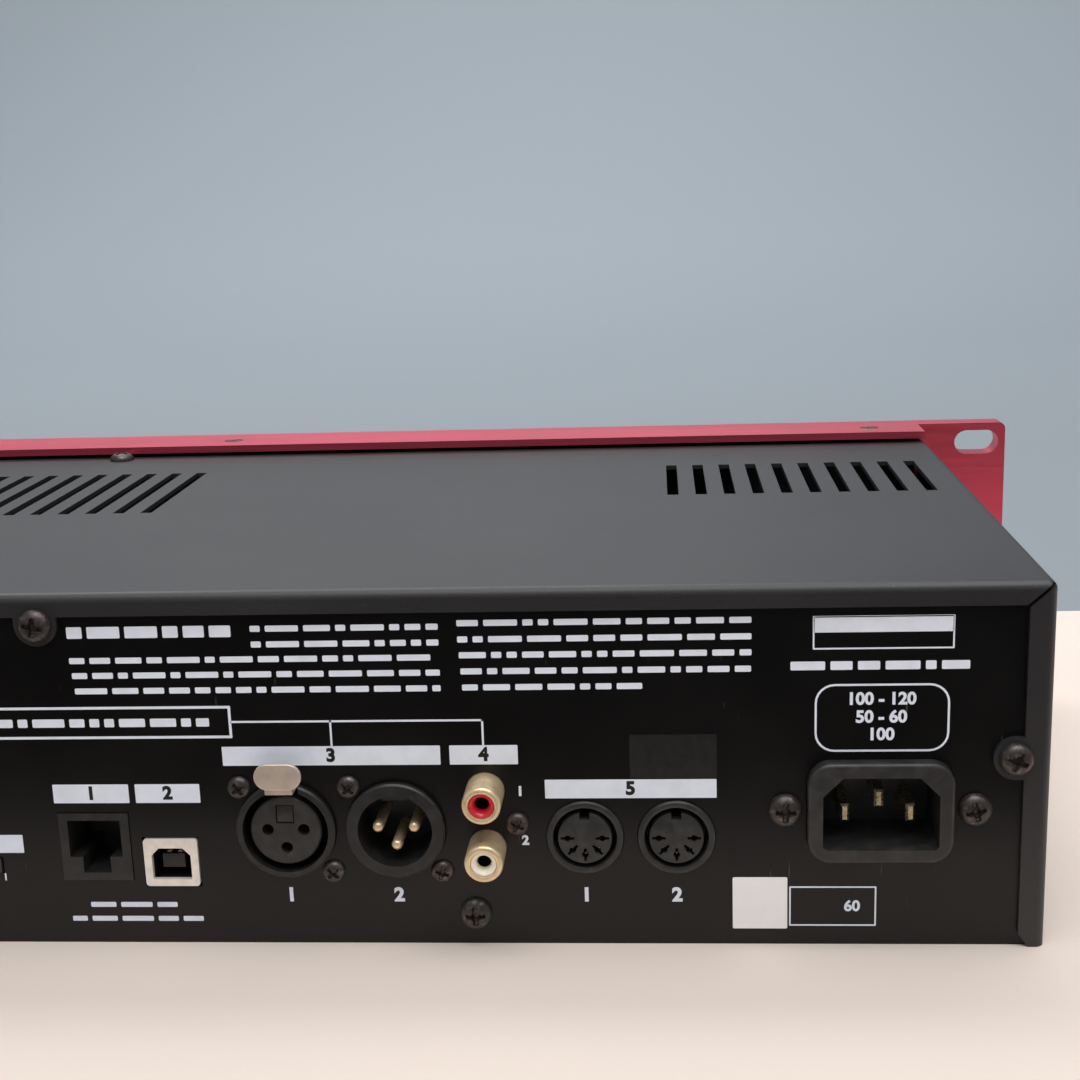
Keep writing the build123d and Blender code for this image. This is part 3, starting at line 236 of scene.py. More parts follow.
def anodised():
    look = Look("red_anodised", (0.86, 0.115, 0.175), 0.36, 0.92)
    look.tint(look.noise(14 * MM, 4.0, (0.15, 1, 1)), (0.76, 0.090, 0.142))
    look.tint(dust(look, 0.5 * MM, 0.80), (0.75, 0.4, 0.42))
    look.gloss(look.noise(1.2 * MM, 4.0, (0.04, 1, 1)), 0.3, 0.7, 0.30, 0.42)
    return look.bump(look.noise(0.5 * MM, 3.0, (0.05, 1, 1)), 0.012 * MM, 0.5)


def zinc():
    look = Look("zinc_plate", (0.48, 0.48, 0.47), 0.34, 0.95)
    look.tint(look.cells(5 * MM, "Color"), (0.40, 0.41, 0.43))
    look.gloss(look.cells(6 * MM), 0.1, 0.7, 0.28, 0.46)
    return look.bump(look.noise(1.0 * MM, 3.0), 0.01 * MM, 0.4)


def black_oxide():
    look = Look("black_oxide", (0.075, 0.062, 0.058), 0.40, 0.7)
    look.tint(look.between(look.noise(1.1 * MM, 4.0), 0.52, 0.72), (0.17, 0.145, 0.13))
    look.gloss(look.noise(0.7 * MM, 3.0), 0.3, 0.7, 0.28, 0.50)
    return look.bump(look.noise(0.35 * MM, 3.0), 0.02 * MM, 0.6)


def moulded(name, colour, rough, grain=0.35 * MM, depth=0.02 * MM):
    look = Look(name, colour, rough)
    dark = max(colour) < 0.1
    cloudy = scaled(colour, 1.7, 0.004, 0.9) if dark else scaled(colour, 0.9)
    look.tint(look.between(look.noise(3.0 * MM, 4.0), 0.45, 0.75), cloudy)
    look.tint(scratches(look, 0.9 * MM, (1.0, 1.0, 0.2)), scaled(colour, 1.6, 0.03, 0.9))
    look.gloss(look.noise(5 * MM, 4.0), 0.3, 0.7, rough - 0.07, rough + 0.09)
    return look.bump(look.noise(grain, 3.0), depth, 0.5)


def metal(name, colour, rough, worn, streak=(1, 1, 1)):
    look = Look(name, colour, rough, 1.0)
    look.tint(look.between(look.noise(1.6 * MM, 5.0), 0.45, 0.75), worn)
    look.gloss(look.noise(0.5 * MM, 4.0, streak), 0.3, 0.7, rough - 0.08, rough + 0.14)
    return look.bump(look.noise(0.25 * MM, 3.0, streak), 0.008 * MM, 0.6)


def gilded(name, colour, rough, metallic):
    """Smooth pale plating: faint cloudy staining and fine pits, some of its light scattered."""
    look = Look(name, colour, rough, metallic)
    look.tint(look.between(look.noise(2.6 * MM, 4.0), 0.40, 0.78), scaled(colour, 0.82))
    look.tint(dust(look, 0.35 * MM, 0.80), scaled(colour, 0.5))
    look.gloss(look.noise(1.5 * MM, 4.0), 0.3, 0.7, rough - 0.06, rough + 0.08)
    return look.bump(look.noise(0.5 * MM, 3.0), 0.006 * MM, 0.5)


def board():
    look = Look("solder_mask", (0.008, 0.075, 0.030), 0.32)
    tracks = look.between(look.cells(2.4 * MM, "Distance", (1, 0.35, 1)), 0.42, 0.46)
    look.tint(tracks, (0.022, 0.15, 0.06))
    look.tint(look.between(look.cells(4.4 * MM), 0.0, 0.10, 1.0, 0.0), (0.62, 0.60, 0.52))
    look.gloss(look.noise(8 * MM, 3.0), 0.3, 0.7, 0.26, 0.40)
    return look.bump(tracks, 0.03 * MM, 0.6)


def ribbon():
    look = Look("ribbon_insulation", (0.30, 0.30, 0.31), 0.45)
    strands = look.bands(1.27 * MM)
    # Painted shade: darker lines along the grooves between the wires, where the bump dips.
    look.tint(look.between(strands, 0.0, 0.25, 1.0, 0.0), (0.14, 0.14, 0.15))
    first_wire = look.between(look.along("X"), ribbon_edge - 1.3 * MM, ribbon_edge - 1.2 * MM)
    look.tint(first_wire, (0.42, 0.03, 0.02))
    look.gloss(look.noise(4 * MM, 2.0), 0.3, 0.7, 0.40, 0.52)
    return look.bump(strands, 0.2 * MM, 0.7)


def smoked():
    look = Look("smoked_acrylic", (0.26, 0.30, 0.30), 0.05, Transmission_Weight=1.0, IOR=1.49)
    look.tint(dust(look, 0.5 * MM, 0.79), (0.6, 0.6, 0.6))
    look.gloss(look.noise(18 * MM, 4.0), 0.35, 0.7, 0.03, 0.09)
    return look.bump(look.noise(9 * MM, 1.0), 0.004 * MM, 0.4)


def ink(name, colour, rough=0.5, worn=0.9, relief=0.006):
    look = Look(name, colour, rough)
    look.tint(look.between(look.noise(5 * MM, 3.0), 0.40, 0.75), scaled(colour, worn))
    look.gloss(look.noise(2 * MM, 3.0), 0.3, 0.7, rough - 0.08, rough + 0.08)
    return look.bump(look.noise(0.2 * MM, 2.0), relief * MM, 0.5)


ribbon_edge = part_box("ribbon_cable")[1].x
looks = {
    "cover_paint": powder_coat(),
    "black_paint": enamel(),
    "red_anodised": anodised(),
    "galvanised": zinc(),
    "black_screw": black_oxide(),
    "black_plastic": moulded("black_moulding", (0.013, 0.0125, 0.012), 0.40),
    "dark_plastic": moulded("dark_moulding", (0.022, 0.021, 0.020), 0.42),
    "gold": gilded("gold_plate", (0.98, 0.75, 0.46), 0.36, 0.62),
    "tinned_brass": metal("tinned_brass", (0.74, 0.64, 0.44), 0.28, (0.5, 0.4, 0.24)),
    "nickel": gilded("nickel_plate", (0.98, 0.91, 0.84), 0.38, 0.40),
    "latch_steel": gilded("latch_steel", (0.80, 0.68, 0.57), 0.40, 0.60),
    "insulator": moulded("cream_insulator", (0.96, 0.90, 0.74), 0.24),
    "window": smoked(),
    "board_green": board(),
    "component_black": moulded("component_case", (0.014, 0.014, 0.014), 0.48),
    "heatsink_black": metal("black_anodised", (0.035, 0.035, 0.037), 0.40, (0.07, 0.07, 0.07), (1, 1, 0.1)),
    "ferrite": moulded("ferrite", (0.035, 0.034, 0.034), 0.55),
    "capacitor_sleeve": moulded("shrunk_sleeve", (0.012, 0.013, 0.035), 0.22),
    "ribbon_grey": ribbon(),
    "knob_black": moulded("knob_moulding", (0.014, 0.014, 0.014), 0.38),
    "button_grey": moulded("button_moulding", (0.17, 0.17, 0.175), 0.42),
}
looks["red_insulator"] = moulded("red_insulator", (0.62, 0.022, 0.034), 0.24)
looks["print_white"] = ink("print_white", (0.80, 0.86, 0.96))
looks["print_black"] = ink("print_black", (0.010, 0.010, 0.010), 0.42)
looks["sticker_white"] = ink("sticker_white", (0.97, 0.96, 0.95), 0.40, 0.97)
looks["sticker_dark"] = ink("sticker_dark", (0.013, 0.0115, 0.012), 0.42, 0.9, 0.0005)
looks["front_white"] = ink("front_white", (0.72, 0.72, 0.70))
looks["dark_metal"] = metal("dark_metal", (0.030, 0.026, 0.022), 0.45, (0.05, 0.04, 0.03))
looks["cap_metal"] = metal("cap_metal", (0.60, 0.60, 0.62), 0.32, (0.45, 0.45, 0.46))
looks["lamp_red"] = moulded("lamp_red", (0.22, 0.012, 0.012), 0.16)
looks["display_unlit"] = moulded("display_unlit", (0.105, 0.125, 0.075), 0.22)
looks["display_cell"] = moulded("display_cell", (0.080, 0.098, 0.058), 0.26)

for name, node in nodes.items():
    slot_name = node.material_slots[0].material.name
    for place in node.material_slots:
        place.material = looks[slot_name].material


# ---- Mesh building ----
SIDES = {
    "rear": (Vector((-1, 0, 0)), Vector((0, 0, 1)), Vector((0, 1, 0))),
    "front": (Vector((1, 0, 0)), Vector((0, 0, 1)), Vector((0, -1, 0))),
    "top": (Vector((1, 0, 0)), Vector((0, 1, 0)), Vector((0, 0, 1))),
    "under": (Vector((1, 0, 0)), Vector((0, -1, 0)), Vector((0, 0, -1))),
    "right": (Vector((0, 1, 0)), Vector((0, 0, 1)), Vector((1, 0, 0))),
    "left": (Vector((0, -1, 0)), Vector((0, 0, 1)), Vector((-1, 0, 0))),
}


def stand(place, side, turn=0.0):
    """Matrix from a face's own axes (across, up, outwards), as seen from outside, to the row frame."""
    across, up, out = SIDES[side]
    matrix = Matrix((across, up, out)).transposed().to_4x4()
    return Matrix.Translation(place) @ matrix @ Matrix.Rotation(turn, 4, "Z")


class Piece:
    """A mesh under construction; every method takes a matrix that stands its shape in the row frame."""

    def __init__(self):
        self.mesh = bmesh.new()

    def box(self, matrix, low, high, bevel=0.0, segments=2):
        size = [b - a for a, b in zip(low, high)]
        centre = [(a + b) / 2 for a, b in zip(low, high)]
        shape = Matrix.Translation(centre) @ Matrix.Diagonal((*size, 1))
        made = bmesh.ops.create_cube(self.mesh, size=1.0, matrix=matrix @ shape)
        if bevel:
            edges = {edge for vert in made["verts"] for edge in vert.link_edges}
            bmesh.ops.bevel(self.mesh, geom=list(edges), offset=bevel, segments=segments,
                            profile=0.5, affect="EDGES")
        return self

    def lathe(self, matrix, profile, around=64):
        """Turn (radius, height) points about the outward axis; radius 0 closes an end."""
        rings = []
        for radius, height in profile:
            if radius == 0:
                rings.append([self.mesh.verts.new(matrix @ Vector((0, 0, height)))])
                continue
            ring = []
            for step in range(around):
                angle = 2 * math.pi * step / around
                point = Vector((radius * math.cos(angle), radius * math.sin(angle), height))
                ring.append(self.mesh.verts.new(matrix @ point))
            rings.append(ring)
        self.bridge(rings)
        return self

    def bridge(self, rings):
        for first, second in zip(rings, rings[1:]):
            count = max(len(first), len(second))
            for step in range(count):
                after = (step + 1) % count
                corners = [first[step % len(first)], first[after % len(first)],
                           second[after % len(second)], second[step % len(second)]]
                unique = list(dict.fromkeys(corners))
                if len(unique) > 2:
                    self.mesh.faces.new(unique)

    def plate(self, matrix, outline, low, high, hole=None):
        """Prism of an outline of (across, up) points between two heights, with one hole if given."""
        def ring(points, height):
            return [self.mesh.verts.new(matrix @ Vector((a, b, height))) for a, b in points]
        outer = [ring(outline, height) for height in (low, high)]
        self.bridge(outer)
        if hole is None:
            self.mesh.faces.new(outer[1])
            self.mesh.faces.new(list(reversed(outer[0])))
            return self
        inner = [ring(hole, height) for height in (high, low)]
        self.bridge(inner)
        self.bridge([outer[1], inner[0]])
        self.bridge([inner[1], outer[0]])
        return self

    def cut(self, cutter):
        """Take another piece's closed solids out of this one's."""
        objects = []
        for part in (self, cutter):
            bmesh.ops.recalc_face_normals(part.mesh, faces=part.mesh.faces)
            data = bpy.data.meshes.new("cut")
            part.mesh.to_mesh(data)
            part.mesh.free()
            objects.append(bpy.data.objects.new("cut", data))
            bpy.context.scene.collection.objects.link(objects[-1])
        modifier = objects[0].modifiers.new("cut", "BOOLEAN")
        modifier.operation = "DIFFERENCE"
        modifier.solver = "EXACT"
        modifier.object = objects[1]
        bpy.context.view_layer.update()
        graph = bpy.context.evaluated_depsgraph_get()
        result = bpy.data.meshes.new_from_object(objects[0].evaluated_get(graph))
        self.mesh = bmesh.new()
        self.mesh.from_mesh(result)
        for leftover in objects:
            data = leftover.data
            bpy.data.objects.remove(leftover)
            bpy.data.meshes.remove(data)
        bpy.data.meshes.remove(result)
        return self

    def join(self, other):
        data = bpy.data.meshes.new("join")
        other.mesh.to_mesh(data)
        other.mesh.free()
        self.mesh.from_mesh(data)
        bpy.data.meshes.remove(data)
        return self

    def finish(self, name, look, body, replaced=(), sharp=35.0):
        bmesh.ops.recalc_face_normals(self.mesh, faces=self.mesh.faces)
        data = bpy.data.meshes.new(name)
        self.mesh.to_mesh(data)
        self.mesh.free()
        data.materials.append(looks[look].material)
        for face in data.polygons:
            face.use_smooth = True
        data.set_sharp_from_angle(angle=math.radians(sharp))
        piece = bpy.data.objects.new(name, data)
        bpy.context.scene.collection.objects.link(piece)
        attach(piece, body)
        if replaced:
            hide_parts(*replaced)
        return piece


def rounded(width, tall, corner, steps=8, across=0.0, up=0.0):
    """Outline of a rounded rectangle, anticlockwise."""
    points = []
    for sign_a, sign_b, start in ((1, 1, 0), (-1, 1, 90), (-1, -1, 180), (1, -1, 270)):
        for step in range(steps + 1):
            angle = math.radians(start + 90 * step / steps)
            points.append((across + sign_a * (width / 2 - corner) + corner * math.cos(angle),
                           up + sign_b * (tall / 2 - corner) + corner * math.sin(angle)))
    return points


def ease(value):
    value = min(1.0, max(0.0, value))
    return value * value * (3 - 2 * value)


def cross_recess(across, up, radius, depth):
    """How far a cross-shaped driver recess cuts in at a point of a screw head."""
    deepest = 0.0
    for along, beside in ((abs(across), abs(up)), (abs(up), abs(across))):
        reach = 0.58 * radius
        half = radius * (0.165 - 0.05 * min(1, along / reach))
        arm = ease((reach - along) / (0.08 * radius) + 0.5) * ease((half - beside) / (0.07 * radius) + 0.5)
        deepest = max(deepest, arm * depth * (1.0 - 0.45 * along / reach))
    core = ease((0.27 * radius - math.hypot(across, up)) / (0.1 * radius) + 0.5)
    return max(deepest, core * depth)


HEAD_RINGS, HEAD_AROUND = 26, 84


def screw_head(piece, matrix, radius, rise, flush=False):
    """Head with a driver recess, as a height field on a polar grid that stands on height 0."""
    grid = [[piece.mesh.verts.new(matrix @ Vector((0, 0, rise - cross_recess(0, 0, radius, 0.8 * rise))))]]
    for index in range(1, HEAD_RINGS + 1):
        share = 1 - (1 - index / HEAD_RINGS) ** 1.5
        reach = radius * share
        ring = []
        for step in range(HEAD_AROUND):
            angle = 2 * math.pi * step / HEAD_AROUND
            across, up = reach * math.cos(angle), reach * math.sin(angle)
            if flush:
                height = rise - 0.25 * rise * ease((share - 0.9) / 0.1)
            else:
                height = rise * max(0.0, 1 - share ** 2.7) ** 0.46
            height -= cross_recess(across, up, radius, 0.8 * rise)
            ring.append(piece.mesh.verts.new(matrix @ Vector((across, up, height))))
        grid.append(ring)
    piece.bridge(grid)


def screws(node, name, head_share, flush=False):
    """Detailed screws in the places and directions of a CAD node's plain ones."""
    piece = Piece()
    rng = random.Random(len(name))
    centre = (cad_low + cad_high) / 2
    for corners in islands(node):
        size = corners[1] - corners[0]
        axis = max(range(3), key=lambda number: size[number])
        outwards = middle(corners)[axis] > centre[axis]
        side = (("left", "right"), ("front", "rear"), ("under", "top"))[axis][outwards]
        radius = min(size) / 2
        place = middle(corners)
        place[axis] = corners[1][axis] if outwards else corners[0][axis]
        rise = radius * head_share
        matrix = stand(place - SIDES[side][2] * rise, side, rng.uniform(0, math.pi / 2))
        screw_head(piece, matrix, radius, rise, flush)
        shank = radius * (0.56 if flush else 0.48)
        length = size[axis] - rise
        low = -0.3 * MM if not flush else -0.35 * length
        piece.lathe(matrix, [
            (radius * 0.99, 0), (shank if flush else radius * 0.9, low), (shank, low),
            (shank, 0.3 * MM - length), (0.7 * shank, -length), (0, -length),
        ], 32)
    return piece.finish(name, "black_screw", "chassis", (node,), 40)


screws("panel_screws", "panel_screw_set", 0.63)
screws("connector_screws", "connector_screw_set", 0.615)
screws("faceplate_screws", "faceplate_screw_set", 0.2, flush=True)


# ---- Coaxial sockets ----
def rca_barrels():
    piece = Piece()
    for low, high in islands("rca_shells"):
        radius = (high.x - low.x) / 2
        reach = high.y - rear_y
        matrix = stand(Vector((middle((low, high)).x, rear_y, middle((low, high)).z)), "rear")
        back = low.y - rear_y
        piece.lathe(matrix, [
            (2.85 * MM, back), (radius, back), (radius, 0.55 * reach), (radius * 0.985, 0.62 * reach),
            (radius, 0.68 * reach), (radius, reach - 0.7 * MM), (radius - 0.12 * MM, reach - 0.35 * MM),
            (radius - 0.35 * MM, reach - 0.1 * MM), (radius - 0.65 * MM, reach),
            (3.12 * MM, reach), (2.9 * MM, reach - 0.12 * MM), (2.85 * MM, reach - 0.4 * MM),
            (2.85 * MM, back),
        ], 72)
    return piece.finish("rca_barrels", "gold", "chassis", ("rca_shells",), 30)


def rca_insulator(corners, name, look):
    piece = Piece()
    low, high = corners
    radius = (high.x - low.x) / 2
    reach = high.y - rear_y
    matrix = stand(Vector((middle(corners).x, rear_y, middle(corners).z)), "rear")
    back = low.y - rear_y
    piece.lathe(matrix, [
        (0, back), (radius, back), (radius, reach - 0.3 * MM), (radius - 0.12 * MM, reach - 0.05 * MM),
        (radius - 0.35 * MM, reach), (2.1 * MM, reach - 0.25 * MM), (1.74 * MM, reach - 0.7 * MM),
        (1.55 * MM, reach - 1.3 * MM), (1.5 * MM, reach - 2.0 * MM), (1.5 * MM, 0.4 * MM), (0, 0.4 * MM),
    ], 64)
    return piece.finish(name, look, "chassis", ("rca_insulators",), 30)


rca_barrels()
lower_rca, upper_rca = islands("rca_insulators")
rca_insulator(lower_rca, "rca_insulator_cream", "insulator")
rca_insulator(upper_rca, "rca_insulator_red", "red_insulator")

rca_cups = Piece()
for corners in (lower_rca, upper_rca):
    cup = stand(Vector((middle(corners).x, rear_y, middle(corners).z)), "rear")
    mouth = corners[1].y - rear_y - 2.1 * MM
    rca_cups.lathe(cup, [
        (1.49 * MM, 0.5 * MM), (1.49 * MM, mouth), (1.36 * MM, mouth), (1.3 * MM, 0.6 * MM), (0, 0.6 * MM),
    ], 40)
rca_cups.finish("rca_contact_cups", "dark_metal", "chassis")


# ---- Faces of the round sockets ----
MIDI_RADIUS = 8.4 * MM
MIDI_GROOVE = 6.9 * MM
MIDI_CORE = 5.9 * MM
MIDI_DEPTH = 8.0 * MM
MIDI_PIN_CIRCLE = 3.8 * MM
MIDI_HOUSING = 9.0 * MM
CLEAR = 3 * MM  # how far a cutter stands out of the face that it cuts


def midi_faces():
    """Ring, groove and core in one turned body, with a key notch and five slotted contact holes."""
    body = Piece()
    contacts = Piece()
    for low, high in islands("midi_sockets"):
        rise = high.y - rear_y
        stood = stand(Vector((middle((low, high)).x, rear_y, midi_axis_z)), "rear")
        back = low.y - rear_y
        floor = rise - MIDI_DEPTH
        turned = Piece()
        turned.lathe(stood, [
            (0, floor - 1.0 * MM), (MIDI_RADIUS, floor - 1.0 * MM), (MIDI_RADIUS, rise - 0.45 * MM),
            (8.28 * MM, rise - 0.18 * MM), (8.0 * MM, rise - 0.03 * MM), (7.7 * MM, rise),
            (7.25 * MM, rise), (7.02 * MM, rise - 0.08 * MM), (MIDI_GROOVE, rise - 0.3 * MM),
            (MIDI_GROOVE, floor), (MIDI_CORE, floor), (MIDI_CORE, rise - 0.3 * MM),
            (5.8 * MM, rise - 0.08 * MM), (5.6 * MM, rise), (0, rise),
        ], 72)
        cutter = Piece()
        cutter.box(stood, (-1.1 * MM, 4.3 * MM, floor), (1.1 * MM, MIDI_GROOVE, CLEAR))
        for step in range(5):
            turn = Matrix.Rotation(math.radians(180 + 45 * step), 4, "Z")
            spoke = stood @ turn @ Matrix.Translation((MIDI_PIN_CIRCLE, 0, 0))
            cutter.plate(spoke, keyhole(0.72 * MM, 0.30 * MM, 1.45 * MM), floor, CLEAR)
            contacts.box(spoke, (0.1 * MM, -0.32 * MM, floor), (0.55 * MM, 0.32 * MM, rise - 1.6 * MM),
                         0.12 * MM)
        turned.cut(cutter)
        body.join(turned)
        body.box(stood, (-MIDI_HOUSING, low.z - midi_axis_z, back),
                 (MIDI_HOUSING, high.z - midi_axis_z, floor - 1.1 * MM), 0.4 * MM)
    body.finish("midi_faces", "dark_plastic", "chassis", ("midi_sockets",), 40)
    contacts.finish("midi_contacts", "tinned_brass", "chassis")


def keyhole(radius, half, reach, steps=24):
    """A round hole with a narrow slot through it along the first axis."""
    corner = math.asin(half / radius)
    points = []
    for start, end, side in ((corner, math.pi - corner, -1), (math.pi + corner, 2 * math.pi - corner, 1)):
        for step in range(steps + 1):
            angle = start + (end - start) * step / steps
            points.append((radius * math.cos(angle), radius * math.sin(angle)))
        points += [(side * reach, -side * half), (side * reach, side * half)]
    return points


def insert_pad():
    """Moulded pad that all but fills the square recess of the female insert."""
    low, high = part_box("xlr_in_insert")
    stood = stand(Vector((middle((low, high)).x, high.y, middle((low, high)).z + 3.9 * MM)), "rear")
    pad = Piece()
    pad.box(stood, (-1.8 * MM, -1.9 * MM, -1.25 * MM), (1.8 * MM, 1.9 * MM, -0.16 * MM), 0.1 * MM)
    pad.finish("xlr_insert_pad", "dark_plastic", "chassis")


USB_AXIS_DROP = 5.9 * MM    # from the shell's top to the socket's axis
USB_STRIP_SPAN = (-10.5 * MM, -2.9 * MM)  # along the axis, from the shell's face
USB_CAVITY_HALF = 4.4 * MM
USB_CAVITY_RISE = 3.7 * MM
USB_CAVITY_CUT = 1.7 * MM
USB_CAVITY_DROP = 0.3 * MM


def usb_details():
    """Two spring contacts over the tongue and two under it, and the dark liner behind the shell's face."""
    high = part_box("usb_shell")[1]
    stood = stand(Vector((middle(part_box("usb_tongue")).x, high.y, high.z - USB_AXIS_DROP)), "rear")
    back, front = USB_STRIP_SPAN
    strips = Piece()
    for side in (-1, 1):
        for across in (-1.25, 1.25):
            near, far = sorted((side * 1.5 * MM, side * 1.95 * MM))
            strips.box(stood, ((across - 0.5) * MM, near, back), ((across + 0.5) * MM, far, front),
                       0.18 * MM, 3)
    strips.finish("usb_contacts", "gold", "chassis")

    half, cut = USB_CAVITY_HALF, USB_CAVITY_CUT
    head, foot = USB_CAVITY_RISE - USB_CAVITY_DROP, -USB_CAVITY_RISE - USB_CAVITY_DROP
    hole = [(half, head - cut), (half - cut, head), (cut - half, head), (-half, head - cut), (-half, foot),
            (-0.3 * half, foot), (0.3 * half, foot), (half, foot)]
    wide, tall = 5.4 * MM, 4.9 * MM
    outline = [(wide, 0), (wide, tall), (-wide, tall), (-wide, 0), (-wide, -tall), (-0.3 * wide, -tall),
               (0.3 * wide, -tall), (wide, -tall)]
    liner = Piece()
    liner.plate(stood, outline, -10.9 * MM, -1.25 * MM, hole)
    liner.finish("usb_liner", "print_black", "chassis")


midi_axis_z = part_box("midi_sockets")[1].z - MIDI_HOUSING
midi_faces()
insert_pad()
usb_details()

# ---- Print on the rear panel, in millimetres across from the middle and up from the panel's foot ----
INK = 0.02 * MM


def words(piece, matrix, start, end, foot, tall, rng):
    """A line of plain bars, where the real panel has small print."""
    across = start
    while across < end - 1.5:
        width = min(rng.choice((2.2, 3.4, 4.6, 5.8, 7.2)), end - across)
        centre = ((across + width / 2) * MM, (foot + tall / 2) * MM)
        piece.plate(matrix, rounded(width * MM, tall * MM, 0.25 * MM, 2, *centre), 0, INK)
        across += width + 1.1


def label(piece, matrix, left, right, foot, head):
    width, tall = (right - left) * MM, (head - foot) * MM
    outline = rounded(width, tall, 0.15 * MM, 2, (left + right) / 2 * MM, (foot + head) / 2 * MM)
    piece.plate(matrix, outline, 0, INK)


def line_box(piece, matrix, left, right, foot, head, line, corner=0.2):
    middle_point = ((left + right) / 2 * MM, (foot + head) / 2 * MM)
    outer = rounded((right - left) * MM, (head - foot) * MM, corner * MM, 6, *middle_point)
    inner = rounded((right - left - 2 * line) * MM, (head - foot - 2 * line) * MM,
                    max(0.05, corner - line) * MM, 6, *middle_point)
    piece.plate(matrix, outer, 0, INK, inner)


def stroke(piece, matrix, start, end, line=0.45):
    """Straight line, level or upright, with square ends."""
    low = [min(a, b) - line / 2 for a, b in zip(start, end)]
    high = [max(a, b) + line / 2 for a, b in zip(start, end)]
    piece.box(matrix, (low[0] * MM, low[1] * MM, 0), (high[0] * MM, high[1] * MM, INK))


def digits(piece, matrix, text, across, up, tall, bold=0.0, sink=0.0):
    """Plain numerals centred on a point; `tall` is the height of a digit in millimetres."""
    curve = bpy.data.curves.new("digits", "FONT")
    curve.body = text
    curve.size = tall * MM / 0.7
    curve.align_x = "CENTER"
    curve.align_y = "CENTER"
    curve.offset = bold * MM
    curve.resolution_u = 6
    curve.extrude = INK / 2
    holder = bpy.data.objects.new("digits", curve)
    bpy.context.scene.collection.objects.link(holder)
    bpy.context.view_layer.update()
    data = bpy.data.meshes.new_from_object(holder.evaluated_get(bpy.context.evaluated_depsgraph_get()))
    data.transform(matrix @ Matrix.Translation((across * MM, up * MM, INK / 2 + sink)))
    piece.mesh.from_mesh(data)
    bpy.data.objects.remove(holder)
    bpy.data.curves.remove(curve)
    bpy.data.meshes.remove(data)


def centre_of(corners):
    """A solid's middle in the rear print's millimetres: rightwards as seen from behind, and up."""
    place = middle(corners)
    return -place.x / MM, (place.z - base_z) / MM


rear_sheet = stand(Vector((0, rear_y, base_z)), "rear")

# Foot and head of each row of label boxes, and start, end and foot of each line of small print.
UPPER_LABELS = (42.1, 46.5)
MIDI_LABEL = (34.2, 38.5)
DATA_LABELS = (33.5, 37.9)
SWITCH_LABEL = (21.7, 26.0)
SMALL_PRINT = (
    (46.5, 87.0, 72.5), (46.5, 87.0, 69.0), (6.3, 87.0, 65.7), (6.6, 87.0, 62.3), (6.9, 87.0, 58.8),
    (91.0, 153.0, 73.2), (91.0, 153.0, 69.6), (91.2, 153.0, 66.1), (91.4, 153.0, 62.5), (91.6, 130.0, 58.9),
)
SMALL_PRINT_TALL = 1.35
SOCKET_NUMBER_TALL = 3.1
SOCKET_NUMBER_UP = 11.5
JACK_NUMBER_UP = 15.0
SELECTOR_LEFT, SELECTOR_RIGHT, SELECTOR_FOOT, SELECTOR_HEAD = -62.0, 40.9, 48.5, 55.9
LEADER_UP, XLR_LEADER = 52.2, 62.6


